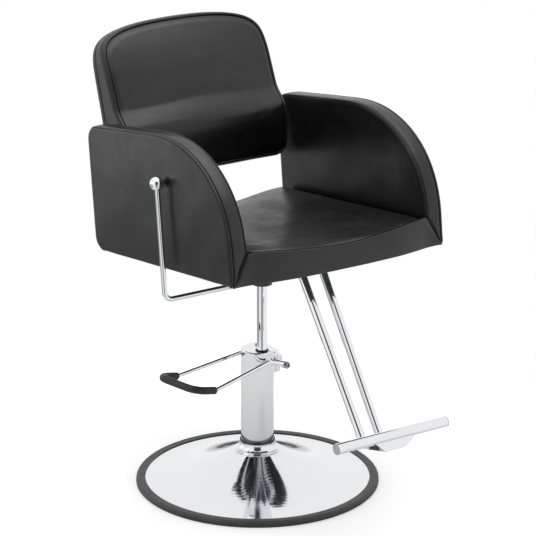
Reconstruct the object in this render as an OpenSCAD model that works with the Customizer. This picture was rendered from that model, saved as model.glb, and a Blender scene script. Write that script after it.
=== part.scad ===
// Hydraulic salon chair: a chromed round base with a foot pump, a ram that lifts and swivels the seat,
// an upholstered tub seat with round arms, a reclining back and a T-bar footrest.
// Millimetres. The base axis is the Z axis, the floor is z = 0 and the front of the chair faces -Y.
// Left and right are as seen from the front, so left is -X. The seat has a frame of its own, tilted
// back about the top of the ram, and the back pad has one that leans from the seat's.

/* [Base] */
// Diameter over the rubber ring
base_dia = 580; // [520:5:640]
// Width of the rubber ring, seen from above
ring_w = 22; // [16:1:30]
// Height of the rubber ring
ring_h = 15; // [12:1:20]
// Height of the chrome disc at its centre
base_rise = 80; // [60:1:100]
// How sharply the disc flares: 1 is a cone, 2 a parabola
flare = 1.9; // [1.3:0.1:2.6]
// Thickness of the chrome disc
disc_sheet = 2.5; // [1.5:0.5:4]
// Thickness of the bottom plate
bottom_t = 4; // [3:1:6]
// Thickness of the cast weight inside the base
weight_t = 8; // [5:1:12]

/* [Pump] */
// Diameter of the chrome pump tube
pump_dia = 78; // [72:1:84]
// Wall of the pump tube
pump_wall = 2.5; // [2:0.5:3]
// Height of the top of the pump head
pump_top = 335; // [300:5:380]
// Height of the cast pump head
head_h = 85; // [78:1:95]
// Diameter of the ram
ram_dia = 24; // [20:1:26]
// How far in front of the pump axis the ram stands
ram_off = 20; // [17:1:20]
// How far the seat is pumped up
lift = 150; // [60:5:150]
// Height of the collar that covers the pump's flange
collar_h = 27; // [20:1:34]
// Diameter of the collar's rim
collar_dia = 110; // [104:1:120]

/* [Pedal] */
// Turn of the pedal from the chair's left towards its front, in degrees
pedal_turn = 10; // [0:1:20]
// Diameter of the pedal rod
pedal_rod_dia = 10; // [8:1:10]
// Diameter of the rubber grip
grip_dia = 18; // [14:1:20]
// Reach of the pedal's legs from the pump axis
leg_reach = 195; // [170:5:215]
// Width between the centres of the pedal's legs at the grip
pedal_w = 130; // [112:2:140]
// How far the grip reaches beyond the legs
bow_reach = 62; // [50:1:70]
// How much the grip rises from level, in degrees
bow_rise = 13.5; // [0:0.5:18]
// Radius of the grip's corners
bow_r = 30; // [24:1:40]
// Distance of the pedal's pivot behind the pump axis
pivot_off = 47; // [45:1:50]
// Depth of the pedal's pivot below the top of the pump head
pivot_drop = 42; // [35:1:50]

/* [Seat] */
// Width across the arms
seat_w = 576; // [540:4:600]
// Thickness of an arm
arm_t = 46; // [44:1:54]
// Depth of the arms in front of the ram
arm_front = 318; // [290:2:330]
// Depth of the arms behind the ram
arm_rear = 271; // [265:1:285]
// Height of the arms above the underside of the seat
arm_h = 310; // [270:2:330]
// Tilt of the whole seat, in degrees
seat_tilt = 6.4; // [3:0.1:8]
// Height of the cushion's middle above the underside
cushion_h = 61; // [52:1:70]
// How much higher the cushion is along the arms
cushion_rise = 13; // [6:1:16]
// How far the front of the seat bows forward
front_bow = 28; // [10:1:36]
// Depth of the cushion behind the ram
cushion_rear = 250; // [244:1:252]

/* [Back] */
// Gap between the back pad and each arm
back_gap = 16; // [12:1:30]
// Height of the back pad, along its rear face
back_h = 368; // [320:4:400]
// Greatest thickness of the back pad at its seam
back_t = 100; // [80:1:105]
// Lean of the back's rear face from the seat's own upright, in degrees
back_lean = 11; // [6:0.5:12]
// Height where the back's sides start to round over
back_shoulder = 208; // [190:2:240]

/* [Footrest] */
// Diameter of the two footrest tubes
tube_dia = 20; // [16:1:22]
// Distance between the tubes' centres under the seat
tube_gap = 57; // [50:1:60]
// Slope of the tubes from upright, in degrees
tube_slope = 35.5; // [30:0.5:40]
// Length of a tube's sloping part
tube_run = 430; // [380:2:440]
// Diameter of the foot bar
bar_dia = 25; // [22:1:28]
// Length of the foot bar
bar_len = 296; // [240:4:340]

/* [Lever] */
// Diameter of the release lever's rod
lever_dia = 12; // [10:1:12]
// Diameter of the lever's ball
ball_dia = 33; // [28:1:36]
// Height of the ball's centre above the underside of the seat
ball_h = 206; // [160:2:230]

/* [Hidden] */
$fn = 64;

// Overrun of a cut past the faces it cuts
cut = 1;
// Radial clearance of a part that turns or slides in a bore
run_gap = 0.05;
// Clearance of a part that is fixed in its place
fit_gap = 0.1;
// Gap between soft solids, and between soft and hard ones
soft_gap = 0.3;
// Gap under a bead that joins two pieces of a rod, and the bead's own size
joint_gap = 0.02;
joint_half = 0.8;
joint_over = 0.1;
kink_over = 0.3;

chrome = "#dfe3e6";
steel = "#9aa0a5";
rubber = "#2b2c2e";
leather = "#232325";
wood = "#b98d5e";
cast = "#4a4c4f";

// Base
base_r = base_dia / 2;
disc_r = base_r - ring_w / 3;
rim_z = ring_h * 0.8;
ring_round = ring_h / 2;
ring_lip = 2.5;
flat_r = collar_dia / 2 + 2;
weight_r = base_r * 0.7;
bottom_r = base_r - ring_w - soft_gap;
disc_steps = 24;

// Pump
pump_r = pump_dia / 2;
pump_in_r = pump_r - pump_wall;
pump_foot_z = 50;
pump_floor_t = 4;
ram_r = ram_dia / 2;
barrel_in_r = ram_r + 1;
barrel_r = pump_in_r - ram_off - 0.5;
collar_r = collar_dia / 2;
collar_lip = 2.5;
collar_body_r = collar_r - 5;
collar_top_r = pump_r + 2;
collar_step = 7;
seal_h = 3;
seal_r = pump_r + 2.8;
flange_h = 6;
flange_r = pump_r + 8;
flange_bolt_r = 2.5;
flange_bolt_at = pump_r + 4.2;
flange_bolt_len = 20;
flange_head_r = 3.7;
flange_head_h = 3;
socket_r = 1.9;
socket_deep = 2;
head_r = pump_r + 0.4;
head_z = pump_top - head_h;
pivot_z = pump_top - pivot_drop;
head_skirt = 12;
head_edge = 3;
lobe_off = 35;
lobe_r = 27;
lobe_top = pump_top - 13;
lobe_h = 12;
lobe_edge = 6;
filler_r = 4;
filler_x = 10;
filler_y = 18;
filler_head_h = 3;
filler_thread_r = 2.5;
filler_thread_len = 10;
wiper_w = 4;
wiper_h = 5;
wiper_proud = 3;
wiper_wall = 2;

// Pedal: x runs away from the pedal along its own direction, y across it
rod_r = pedal_rod_dia / 2;
grip_r = grip_dia / 2;
grip_gap = 0.2;
grip_start = 2;
leg_y = head_r + rod_r + 2.6;
hump_x = -8.5;
hump_rise = 20;
hump_z = pivot_z + hump_rise;
leg_end_rise = 4;
leg_end_z = pivot_z + leg_end_rise;
pedal_pitch = atan2(hump_z - leg_end_z, leg_reach + hump_x);
leg_len = (leg_reach + hump_x) / cos(pedal_pitch);
pedal_splay = atan2(pedal_w / 2 - leg_y, leg_len);
shaft_r = 6;
eye_over = 0.4;
eye_half = rod_r + eye_over;
shaft_half = leg_y + eye_half;
shaft_eye_r = 10;
shaft_screw_r = 7.5;
shaft_screw_h = 4;
shaft_socket_r = 3.6;
shaft_thread_r = 2.5;
shaft_thread_len = 12;
ear_t = 4;
ear_y = 26;
ear_r = 11;
ear_x = 34.5;
ear_foot_x = 51;
ear_foot_z = pivot_z - 22;
bracket_x = head_r + 0.6;
bracket_end_x = 58;
bracket_wall = 4;
bracket_screw_r = 2.5;
bracket_screw_y = 15;
bracket_screw_len = 8;
bracket_head_r = 4.5;
bracket_head_h = 3;
rocker_r = 10;
rocker_t = 10;
rocker_pad_r = 5;
plunger_arm = 17;
plunger_x = pivot_off - plunger_arm;
plunger_r = 4;
plunger_top = pivot_z - rocker_pad_r - soft_gap;
plunger_len = 31;
plunger_cap_r = 6.5;
plunger_cap_h = 3;
guide_r = 8;
guide_h = 10;
pocket_x = 20;
pocket_end_x = 46;
pocket_y = 9.5;
pocket_drop = 31;
pocket_z = pivot_z - pocket_drop;
pocket_top = lobe_top - lobe_h - 4;
plunger_well = 11;

// Ram, piston and hub
hub_gap = 15;
hub_z = pump_top + hub_gap + lift;
hub_h = 93;
hub_r = 24;
seat_z = hub_z + hub_h;
ram_top = seat_z - 22;
piston_gap = 3;
piston_h = 22;
longest_lift = 150;
piston_top = head_z - head_skirt - piston_gap - longest_lift + lift;
ram_spigot_r = 6;
seal_groove = 2;
seal_groove_h = 6;

// Seat frame: x across, y from the ram to the rear, z up from the underside
plate_t = 5;
cover_t = 1.5;
board_t = 15;
board_top = cover_t + board_t;
plate_low = cover_t - plate_t;
plate_w = 180;
plate_d = 180;
plate_inset = 20;
plate_bolt_r = 4;
plate_bolt_len = 16;
hex_r = 6.5;
hex_h = 5;
cheek_x = 52;
cheek_t = 4;
channel_front = -86;
channel_rear = 256;
channel_low = -74;
channel_web = 4;
web_front = 92;
web_rear = 215;
half_w = seat_w / 2;
inner_x = half_w - arm_t;
arm_board_t = 18;
arm_pad_t = (arm_t - arm_board_t) / 2;
arm_board_x = inner_x + arm_pad_t;
band_t = 5;
arm_inset = band_t + soft_gap;
outer_crown = 3;
inner_crown = 6;
arm_bend_y = 20;
arm_bend_z = 62;
arm_power = 2.25;
arm_slope = 0.04;
arm_top_r = 38;
arm_foot_r = 35;
arm_toe_r = 12;
arm_steps = 22;
corner_steps = 6;
arm_mid_y = -20;
arm_mid_z = 150;
toe_gap = 0.6;
inner_foot = 18;
mitre_z = 72;
mitre_x = half_w - 3;
border_low_z = 57;
bow_power = 3;
bow_steps = 16;
board_inset = 4;
board_rear = arm_rear - arm_foot_r - board_inset;
window_x = 92;
window_front = -165;
window_rear = 92;
seat_squeeze = 2.6;
cushion_half = inner_x - seat_squeeze;
cushion_low = board_top + soft_gap;
cushion_dip = 3;
cushion_round = 6;

// Across the cushion: share of the half width, share of the edge drop
cushion_drop = 28;
cushion_stations = [[0, 0], [0.14, 0], [0.28, 0], [0.42, 0], [0.56, 0], [0.68, 0], [0.78, 0], [0.87, 0],
    [0.93, 0.02], [0.965, 0.1], [0.985, 0.28], [1, 1]];
cushion_rise_shares = [0.25, 0.9];
top_steps = 11;

// Rings of an arm pad: share of the outline, of the thickness and of the crown
pad_shares = [[1, 0, 0], [1, 0.7, 0], [0.988, 0.93, 0], [0.965, 1, 0.04], [0.86, 1, 0.26], [0.66, 1, 0.56],
    [0.4, 1, 0.84], [0.16, 1, 0.98]];
// Cross-section of an arm's band: share of its width, share of its thickness
band_shares = [[0, 1], [0, 0.4], [0.07, 0.08], [0.5, 0], [0.93, 0.08], [1, 0.4], [1, 1]];

// Back frame: x across, y to the rear from the rear face, z up the rear face
back_foot_y = 277;
back_foot_z = 145;
back_half = inner_x - back_gap;
rear_panel_t = 15;
back_foot_r = 26;
back_crown = 9;
// Height share and thickness share of the back pad
back_shares = [[0, 0.66], [0.12, 0.84], [0.24, 0.97], [0.32, 1], [0.37, 0.9], [0.42, 0.8], [0.5, 0.725],
    [0.6, 0.68], [0.7, 0.64], [0.85, 0.52], [1, 0.38]];
// Shares of the half width and of the height where the back pad is cut into rings
back_across = [0, 0.2, 0.4, 0.56, 0.7, 0.8, 0.88, 0.935, 0.97, 0.988, 0.997, 1];
back_up = [0, 0.05, 0.12, 0.2, 0.27, 0.32, 0.37, 0.42, 0.48, 0.55, 0.64, 0.74, 0.83, 0.9, 0.95, 0.985, 1];
back_power = 2.4;
// Powers of the curve over the back's shoulders, along and across
shoulder_power = 6;
shoulder_width_power = 2.54;
shoulder_steps = 24;

// Hinge, bar and plate of the back
pin_y = 236;
pin_z = -17;
pin_r = 6;
pin_head_r = 9;
pin_head_t = 4;
barrel_out_r = 13;
barrel_half = cheek_x - 2;
bar_w = 60;
bar_t = 8;
bar_rise_y = 262;
bar_knee_z = 10;
bar_elbow_z = 85;
bar_turn_h = -11;
back_plate_t = 4;
back_plate_w = 120;
back_plate_low = 20;
back_plate_high = 150;
back_bolt_r = 4;
back_bolt_len = 14;
back_bolt_x = 46;
back_bolt_inset = 18;

// Gas spring
gas_x = -38;
gas_r = 10;
gas_wall = 2;
gas_front = -46;
gas_rear = 110;
gas_cap = 6;
gas_rod_r = 4;
gas_rod_in = 60;
valve_r = 2.5;
valve_len = 8;
link_arm = 34;
link_angle = 14;
link_y = pin_y + link_arm * sin(link_angle);
link_z = pin_z - link_arm * cos(link_angle);
gas_z = link_z - 0.5;
link_pin_r = 4;
link_eye_r = 8;
link_ear_t = 3;
eye_r = 9;
eye_slack = 1.2;
eye_t = 10;
ear_gap = 2;
link_pin_over = 1.5;
anchor_front = -40;
anchor_d = 12;
anchor_wall = 4;

// Lever
lever_r = lever_dia / 2;
ball_r = ball_dia / 2;
lever_x = -half_w - ball_r - 6.5;
lever_y = -69.5;
lever_z = -61;
lever_bend = 18;
lever_end = 62;
ball_socket = 6;
cam_t = 8;
cam_r = 10;
cam_tip_z = -44;
cam_wall = 4;

// Footrest
tube_r = tube_dia / 2;
tube_wall = 2;
tube_z = plate_low - tube_r;
tube_bend = 40;
tube_end_y = -95;
tube_knee_y = -192.4;
tube_toe_in = 1.3;
tube_turn = 90 - tube_slope + seat_tilt;
tube_tangent = tube_bend * tan(tube_turn / 2);
clamp_front = -160;
clamp_d = 44;
clamp_w = 122;
clamp_wall = 4;
clamp_screw_x = 52;
clamp_screw_r = 3.5;
clamp_screw_inset = 12;
clamp_screw_len = 42;
block_top_w = 112;
block_foot_w = 54;
block_front = -552;
block_rear = -446;
block_fall = 14;
block_top_drop = 305;
block_knee_drop = 308;
block_rear_drop = 339;
block_foot_drop = 329;
bar_drop = 301;
block_top_z = seat_z - block_top_drop;
block_knee_y = -520;
block_knee_z = seat_z - block_knee_drop;
block_rear_z = seat_z - block_rear_drop;
block_foot_z = seat_z - block_foot_drop;
bar_r = bar_dia / 2;
bar_wall = 2;
bar_y = -535;
bar_z = seat_z - bar_drop;
plug_t = 2;
plug_len = 12;

function arc(centre, radius, from, to, steps) =
    [for (i = [0 : steps]) let (a = from + (to - from) * i / steps)
        [centre.x + radius * cos(a), centre.y + radius * sin(a)]];

function reversed(list) = [for (i = [len(list) - 1 : -1 : 0]) list[i]];

function mean(points) = [for (p = points) 1 / len(points)] * points;

function smooth(t) = let (s = max(0, min(1, t))) s * s * (3 - 2 * s);

function mirrored_stations(rows) = concat([for (r = reversed(rows)) [-r[0], r[1]]],
    [for (i = [1 : len(rows) - 1]) rows[i]]);

function path_dir(path, i) = let (d = path[min(i + 1, len(path) - 1)] - path[max(i - 1, 0)]) d / norm(d);

// Outline of a strip of thickness t along a flat path
function strip_outline(path, t) = concat(
    [for (i = [0 : len(path) - 1]) let (d = path_dir(path, i)) path[i] + [-d.y, d.x] * t / 2],
    [for (i = [len(path) - 1 : -1 : 0]) let (d = path_dir(path, i)) path[i] - [-d.y, d.x] * t / 2]);

// Side outline of an arm, drawn in by g, with its lower corners standing on a foot height
function arm_outline(g, foot) = concat(
    arc([-arm_front + arm_toe_r, foot + arm_toe_r], arm_toe_r - g, 270, 180, corner_steps),
    [for (i = [0 : arm_steps]) let (a = 90 * i / arm_steps)
        [-arm_bend_y - (arm_front - arm_bend_y - g) * pow(cos(a), 2 / arm_power),
         arm_bend_z + (arm_h - arm_bend_z - g) * pow(sin(a), 2 / arm_power)]],
    arc([arm_rear - arm_top_r, arm_h - arm_top_r - arm_slope * (arm_rear + arm_bend_y)], arm_top_r - g, 90, 0,
        corner_steps),
    arc([arm_rear - arm_foot_r, foot + arm_foot_r], arm_foot_r - g, 0, -90, corner_steps));

// The same, closed down to the underside of the seat
function arm_panel(g) = concat([[-arm_front + arm_toe_r + toe_gap, 0]], arm_outline(g, 0),
    [[arm_rear - arm_foot_r - toe_gap, 0]]);

// Solid through a stack of rings, closed by a fan at each end
module ring_solid(rings) {
    n = len(rings[0]);
    m = len(rings);
    points = concat([for (r = rings) each r], [mean(rings[0]), mean(rings[m - 1])]);
    sides = [for (j = [0 : m - 2]) for (i = [0 : n - 1]) let (a = j * n + i, b = j * n + (i + 1) % n)
        each [[a, b, b + n], [a, b + n, a + n]]];
    first = [for (i = [0 : n - 1]) [m * n, (i + 1) % n, i]];
    last = [for (i = [0 : n - 1]) [m * n + 1, (m - 1) * n + i, (m - 1) * n + (i + 1) % n]];
    polyhedron(points, concat(sides, first, last), convexity = 4);
}

// Round rod between two points
module rod(from, to, radius) {
    v = to - from;
    translate(from)
        rotate([0, acos(v.z / norm(v)), atan2(v.y, v.x)])
            cylinder(h = norm(v), r = radius);
}

// Flat shape in the YZ plane, given thickness t from x on
module slab_x(x, t) {
    translate([x, 0, 0])
        rotate([90, 0, 90])
            linear_extrude(t)
                children();
}

// Flat shape in the XZ plane, given thickness t from y on towards -Y
module slab_y(y, t) {
    translate([0, y, 0])
        rotate([90, 0, 0])
            linear_extrude(t)
                children();
}

module pin_x(x, t, radius) {
    translate([x, 0, 0])
        rotate([0, 90, 0])
            cylinder(h = t, r = radius);
}

module pin_y(y, t, radius) {
    translate([0, y, 0])
        rotate([-90, 0, 0])
            cylinder(h = t, r = radius);
}

module at_ram() {
    translate([0, -ram_off, 0])
        children();
}

module seat_space() {
    translate([0, -ram_off, seat_z])
        rotate([-seat_tilt, 0, 0])
            children();
}

module back_space() {
    seat_space()
        translate([0, back_foot_y, back_foot_z])
            rotate([-back_lean, 0, 0])
                children();
}

module pump_turn() {
    rotate([0, 0, pedal_turn])
        children();
}

module tube(h, outer, inner) {
    difference() {
        cylinder(h = h, r = outer);
        translate([0, 0, -cut])
            cylinder(h = h + 2 * cut, r = inner);
    }
}

// Height of the chrome disc's upper face at a radius
function disc_z(radius) = rim_z + (base_rise - rim_z) * pow((disc_r - radius) / (disc_r - flat_r), flare);

function disc_profile(drop) = [for (i = [0 : disc_steps]) let (radius = flat_r + (disc_r - flat_r) * i / disc_steps)
    [radius, disc_z(radius) - drop]];

module flange_bolt_places(z) {
    for (a = [45 : 90 : 315])
        rotate([0, 0, a])
            translate([flange_bolt_at, 0, z])
                children();
}

module base_disc() {
    hole_r = pump_r + fit_gap;
    color(chrome)
        difference() {
            rotate_extrude($fn = 128)
                polygon(concat([[hole_r, base_rise]], disc_profile(0), reversed(disc_profile(disc_sheet)),
                    [[hole_r, base_rise - disc_sheet]]));
            flange_bolt_places(base_rise - flange_bolt_len)
                cylinder(h = 2 * flange_bolt_len, r = flange_bolt_r + fit_gap);
        }
}

module base_ring() {
    inner_r = base_r - ring_w;
    color(rubber)
        rotate_extrude($fn = 128)
            difference() {
                polygon(concat([[inner_r, 0], [base_r - ring_w / 6, 0], [base_r, ring_w / 6]],
                    arc([base_r - ring_round, ring_h - ring_round], ring_round, 0, 90, corner_steps),
                    [[inner_r, rim_z + ring_lip]]));
                polygon([[inner_r - cut, disc_z(inner_r) + fit_gap], [disc_r + fit_gap, rim_z + fit_gap],
                    [disc_r + fit_gap, rim_z - disc_sheet - fit_gap],
                    [inner_r - cut, rim_z - disc_sheet - fit_gap]]);
            }
}

module base_weight() {
    color(cast)
        translate([0, 0, bottom_t])
            tube(weight_t, weight_r, flange_r + cut);
}

module base_bottom_plate() {
    color(steel) {
        cylinder(h = bottom_t, r = bottom_r, $fn = 96);
        difference() {
            translate([0, 0, bottom_t])
                tube(base_rise - disc_sheet - bottom_t, flange_r, pump_r + fit_gap);
            flange_bolt_places(base_rise - flange_bolt_len)
                cylinder(h = base_rise, r = flange_bolt_r + fit_gap);
        }
    }
}

module base_collar() {
    bore_r = pump_r + fit_gap;
    top_z = base_rise + collar_h - seal_h;
    color(chrome)
        rotate_extrude($fn = 96)
            polygon(concat([[flange_r + fit_gap, base_rise], [collar_r, base_rise], [collar_r, base_rise + collar_lip],
                [collar_body_r, base_rise + collar_lip]],
                [for (i = [0 : disc_steps / 2]) let (a = 180 * i / disc_steps)
                    [collar_top_r + (collar_body_r - collar_top_r) * (1 - sin(a)),
                     base_rise + collar_step + (top_z - base_rise - collar_step) * (1 - cos(a))]],
                [[bore_r, top_z], [bore_r, base_rise + flange_h + fit_gap],
                 [flange_r + fit_gap, base_rise + flange_h + fit_gap]]));
}

module collar_seal() {
    color(rubber)
        translate([0, 0, base_rise + collar_h - seal_h])
            tube(seal_h, seal_r, pump_r + fit_gap);
}

module flange_bolts() {
    color(steel)
        flange_bolt_places(base_rise + flange_h - flange_bolt_len)
            difference() {
                union() {
                    cylinder(h = flange_bolt_len, r = flange_bolt_r);
                    translate([0, 0, flange_bolt_len - flange_head_h])
                        cylinder(h = flange_head_h, r = flange_head_r);
                }
                translate([0, 0, flange_bolt_len - socket_deep])
                    cylinder(h = flange_bolt_len, r = socket_r, $fn = 6);
            }
}

module pump_tube() {
    color(chrome)
        difference() {
            union() {
                translate([0, 0, pump_foot_z])
                    cylinder(h = head_z - pump_foot_z, r = pump_r);
                translate([0, 0, base_rise])
                    cylinder(h = flange_h, r = flange_r);
            }
            translate([0, 0, pump_foot_z + pump_floor_t])
                cylinder(h = head_z, r = pump_in_r);
            flange_bolt_places(base_rise - cut)
                cylinder(h = 2 * flange_h, r = flange_bolt_r + fit_gap);
            flange_bolt_places(base_rise + flange_h - flange_head_h)
                cylinder(h = flange_h, r = flange_head_r + fit_gap);
        }
}

module ram_barrel() {
    foot = pump_foot_z + pump_floor_t;
    color(steel)
        at_ram()
            translate([0, 0, foot])
                tube(head_z - head_skirt - foot, barrel_r, barrel_in_r);
}

// Round boss with a rounded upper edge
module round_boss(h, radius, edge) {
    rotate_extrude()
        polygon(concat([[0, 0], [radius, 0]], arc([radius - edge, h - edge], edge, 0, 90, corner_steps), [[0, h]]));
}

module pump_head() {
    color(chrome)
        difference() {
            union() {
                translate([0, 0, head_z])
                    round_boss(head_h, head_r, head_edge);
                translate([0, 0, head_z - head_skirt])
                    cylinder(h = head_skirt + cut, r = pump_in_r - fit_gap);
                pump_turn()
                    translate([lobe_off, 0, lobe_top - lobe_h])
                        round_boss(lobe_h, lobe_r, lobe_edge);
            }
            at_ram() {
                translate([0, 0, head_z - head_skirt - cut])
                    cylinder(h = head_h + head_skirt + 2 * cut, r = ram_r + run_gap);
                translate([0, 0, pump_top - wiper_h])
                    cylinder(h = wiper_h + cut, r = ram_r + wiper_w + fit_gap);
            }
            translate([filler_x, filler_y, pump_top - filler_thread_len])
                cylinder(h = filler_thread_len + cut, r = filler_thread_r + fit_gap);
            pump_turn() {
                translate([pocket_x, -pocket_y, pocket_z])
                    cube([pocket_end_x - pocket_x, 2 * pocket_y, pocket_top - pocket_z]);
                translate([plunger_x, 0, pocket_z - plunger_well])
                    cylinder(h = plunger_well + cut, r = plunger_r + fit_gap);
                bracket_screw_places(lobe_top - lobe_h - cut)
                    cylinder(h = bracket_screw_len - bracket_wall + cut, r = bracket_screw_r + fit_gap);
            }
        }
}

module filler_screw() {
    color(steel)
        translate([filler_x, filler_y, pump_top - filler_thread_len])
            difference() {
                union() {
                    cylinder(h = filler_thread_len, r = filler_thread_r);
                    translate([0, 0, filler_thread_len])
                        cylinder(h = filler_head_h, r = filler_r);
                }
                translate([0, 0, filler_thread_len + filler_head_h - socket_deep])
                    cylinder(h = socket_deep + cut, r = socket_r, $fn = 6);
            }
}

module wiper_seal() {
    color(rubber)
        at_ram()
            translate([0, 0, pump_top - wiper_h])
                difference() {
                    union() {
                        cylinder(h = wiper_h, r = ram_r + wiper_w);
                        cylinder(h = wiper_h + wiper_proud, r = ram_r + wiper_wall);
                    }
                    translate([0, 0, -cut])
                        cylinder(h = wiper_h + wiper_proud + 2 * cut, r = ram_r + run_gap);
                }
}

module bracket_screw_places(z) {
    for (side = [-1, 1])
        translate([pivot_off, side * bracket_screw_y, z])
            children();
}

module pedal_bracket() {
    top_z = lobe_top - lobe_h;
    color(steel)
        pump_turn()
            difference() {
                union() {
                    translate([bracket_x, -ear_y, top_z - bracket_wall])
                        cube([bracket_end_x - bracket_x, 2 * ear_y, bracket_wall]);
                    for (y = [-ear_y + ear_t, ear_y])
                        slab_y(y, ear_t)
                            union() {
                                translate([pivot_off, pivot_z])
                                    circle(ear_r);
                                translate([ear_x, pivot_z])
                                    square([bracket_end_x - ear_x, top_z - pivot_z]);
                                translate([ear_x, ear_foot_z])
                                    square([ear_foot_x - ear_x, pivot_z - ear_foot_z]);
                            }
                }
                translate([pivot_off, 0, pivot_z])
                    pin_y(-ear_y - cut, 2 * ear_y + 2 * cut, shaft_r + run_gap);
                bracket_screw_places(top_z - bracket_wall - cut)
                    cylinder(h = bracket_wall + 2 * cut, r = bracket_screw_r + fit_gap);
            }
}

module bracket_screws() {
    color(steel)
        pump_turn()
            bracket_screw_places(lobe_top - lobe_h - bracket_wall - bracket_head_h)
                difference() {
                    union() {
                        cylinder(h = bracket_head_h + bracket_screw_len, r = bracket_screw_r);
                        cylinder(h = bracket_head_h, r = bracket_head_r);
                    }
                    translate([0, 0, -cut])
                        cylinder(h = socket_deep + cut, r = socket_r, $fn = 6);
                }
}

module plunger_guide() {
    color(steel)
        pump_turn()
            translate([plunger_x, 0, pocket_z])
                tube(guide_h, guide_r, plunger_r + run_gap);
}

// Cross-section of a rod, or of a pipe when inner is more than zero
module ring_shape(radius, inner) {
    difference() {
        circle(radius);
        if (inner > 0)
            circle(inner);
    }
}

module pipe(len, radius, inner) {
    linear_extrude(len)
        ring_shape(radius, inner);
}

module pipe_bend(bend, angle, radius, inner) {
    rotate_extrude(angle = angle, $fn = 64)
        translate([bend, 0])
            ring_shape(radius, inner);
}

// Weld bead that joins two pieces of a rod or pipe end to end
module pipe_joint(radius, inner) {
    translate([0, 0, -joint_half])
        pipe(2 * joint_half, radius + joint_over, max(inner - joint_over, 0));
}

// The pedal's own plane: it starts at the hump and falls away towards -x
module pedal_plane() {
    translate([hump_x, 0, hump_z])
        rotate([0, -pedal_pitch, 0])
            children();
}

// The grip's own plane: it starts where the legs end and rises towards -x
module bow_plane() {
    translate([-leg_reach, 0, leg_end_z])
        rotate([0, bow_rise, 0])
            children();
}

// One leg, along its own direction, from the hump to the grip
module pedal_leg(side) {
    pedal_plane()
        translate([0, side * leg_y, 0])
            rotate([0, 90, 180 - side * pedal_splay])
                translate([0, 0, joint_gap])
                    pipe(leg_len / cos(pedal_splay) - joint_gap, rod_r, 0);
}

// Sides, corners and cross piece of the grip, as a rod or a sleeve that starts a little way along
module pedal_bow(start, radius, inner) {
    side_len = bow_reach - bow_r;
    half_w_bow = pedal_w / 2;
    for (side = [0, 1])
        mirror([0, side, 0]) {
            translate([0, half_w_bow, 0])
                rotate([0, -90, 0]) {
                    translate([0, 0, start])
                        pipe(side_len - start - joint_gap, radius, inner);
                    translate([0, 0, side_len])
                        pipe_joint(radius, inner);
                }
            translate([-side_len, half_w_bow - bow_r, 0])
                rotate([0, 0, 90])
                    pipe_bend(bow_r, 90, radius, inner);
            translate([-bow_reach, half_w_bow - bow_r, 0])
                rotate([90, 0, 0])
                    pipe_joint(radius, inner);
        }
    translate([-bow_reach, joint_gap - half_w_bow + bow_r, 0])
        rotate([-90, 0, 0])
            pipe(2 * (half_w_bow - bow_r - joint_gap), radius, inner);
}

module pedal_rod() {
    color(chrome)
        pump_turn()
            difference() {
                union() {
                    bow_plane()
                        pedal_bow(0, rod_r, 0);
                    for (side = [-1, 1]) {
                        pedal_leg(side);
                        rod([pivot_off, side * leg_y, pivot_z], [hump_x, side * leg_y, hump_z], rod_r);
                        translate([hump_x, side * leg_y, hump_z])
                            sphere(r = rod_r + kink_over, $fn = 32);
                        translate([-leg_reach, side * pedal_w / 2, leg_end_z])
                            sphere(r = rod_r + kink_over, $fn = 32);
                        translate([pivot_off, side * leg_y, pivot_z])
                            pin_y(-eye_half, 2 * eye_half, shaft_eye_r);
                    }
                }
                translate([pivot_off, 0, pivot_z])
                    pin_y(-shaft_half - cut, 2 * shaft_half + 2 * cut, shaft_r + run_gap);
            }
}

module pedal_grip() {
    color(rubber)
        pump_turn()
            bow_plane()
                pedal_bow(grip_start, grip_r, rod_r + grip_gap);
}

module pedal_shaft() {
    color(steel)
        pump_turn()
            translate([pivot_off, 0, pivot_z])
                difference() {
                    pin_y(-shaft_half, 2 * shaft_half, shaft_r);
                    pin_y(-shaft_half - cut, shaft_thread_len + cut, shaft_thread_r + fit_gap);
                    pin_y(shaft_half - shaft_thread_len, shaft_thread_len + cut, shaft_thread_r + fit_gap);
                }
}

module shaft_screws() {
    color(steel)
        pump_turn()
            translate([pivot_off, 0, pivot_z])
                for (side = [0, 1])
                    mirror([0, side, 0])
                        difference() {
                            union() {
                                pin_y(shaft_half, shaft_screw_h, shaft_screw_r);
                                pin_y(shaft_half - shaft_thread_len + cut, shaft_thread_len, shaft_thread_r);
                            }
                            translate([0, shaft_half + shaft_screw_h + cut, 0])
                                rotate([90, 0, 0])
                                    cylinder(h = shaft_screw_h, r = shaft_socket_r, $fn = 6);
                        }
}

module pedal_rocker() {
    color(steel)
        pump_turn()
            slab_y(rocker_t / 2, rocker_t)
                difference() {
                    union() {
                        translate([pivot_off, pivot_z])
                            circle(rocker_r);
                        translate([plunger_x, pivot_z])
                            circle(rocker_pad_r);
                        translate([plunger_x, pivot_z - rocker_pad_r])
                            square([plunger_arm, 2 * rocker_pad_r]);
                    }
                    translate([pivot_off, pivot_z])
                        circle(shaft_r + run_gap);
                }
}

module plunger() {
    color(steel)
        pump_turn()
            translate([plunger_x, 0, plunger_top - plunger_len]) {
                cylinder(h = plunger_len, r = plunger_r);
                translate([0, 0, plunger_len - plunger_cap_h])
                    cylinder(h = plunger_cap_h, r = plunger_cap_r);
            }
}

module ram() {
    color(chrome)
        at_ram() {
            translate([0, 0, piston_top])
                cylinder(h = ram_top - piston_top, r = ram_r);
            translate([0, 0, piston_top - piston_h])
                cylinder(h = piston_h + cut, r = ram_spigot_r);
        }
}

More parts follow.
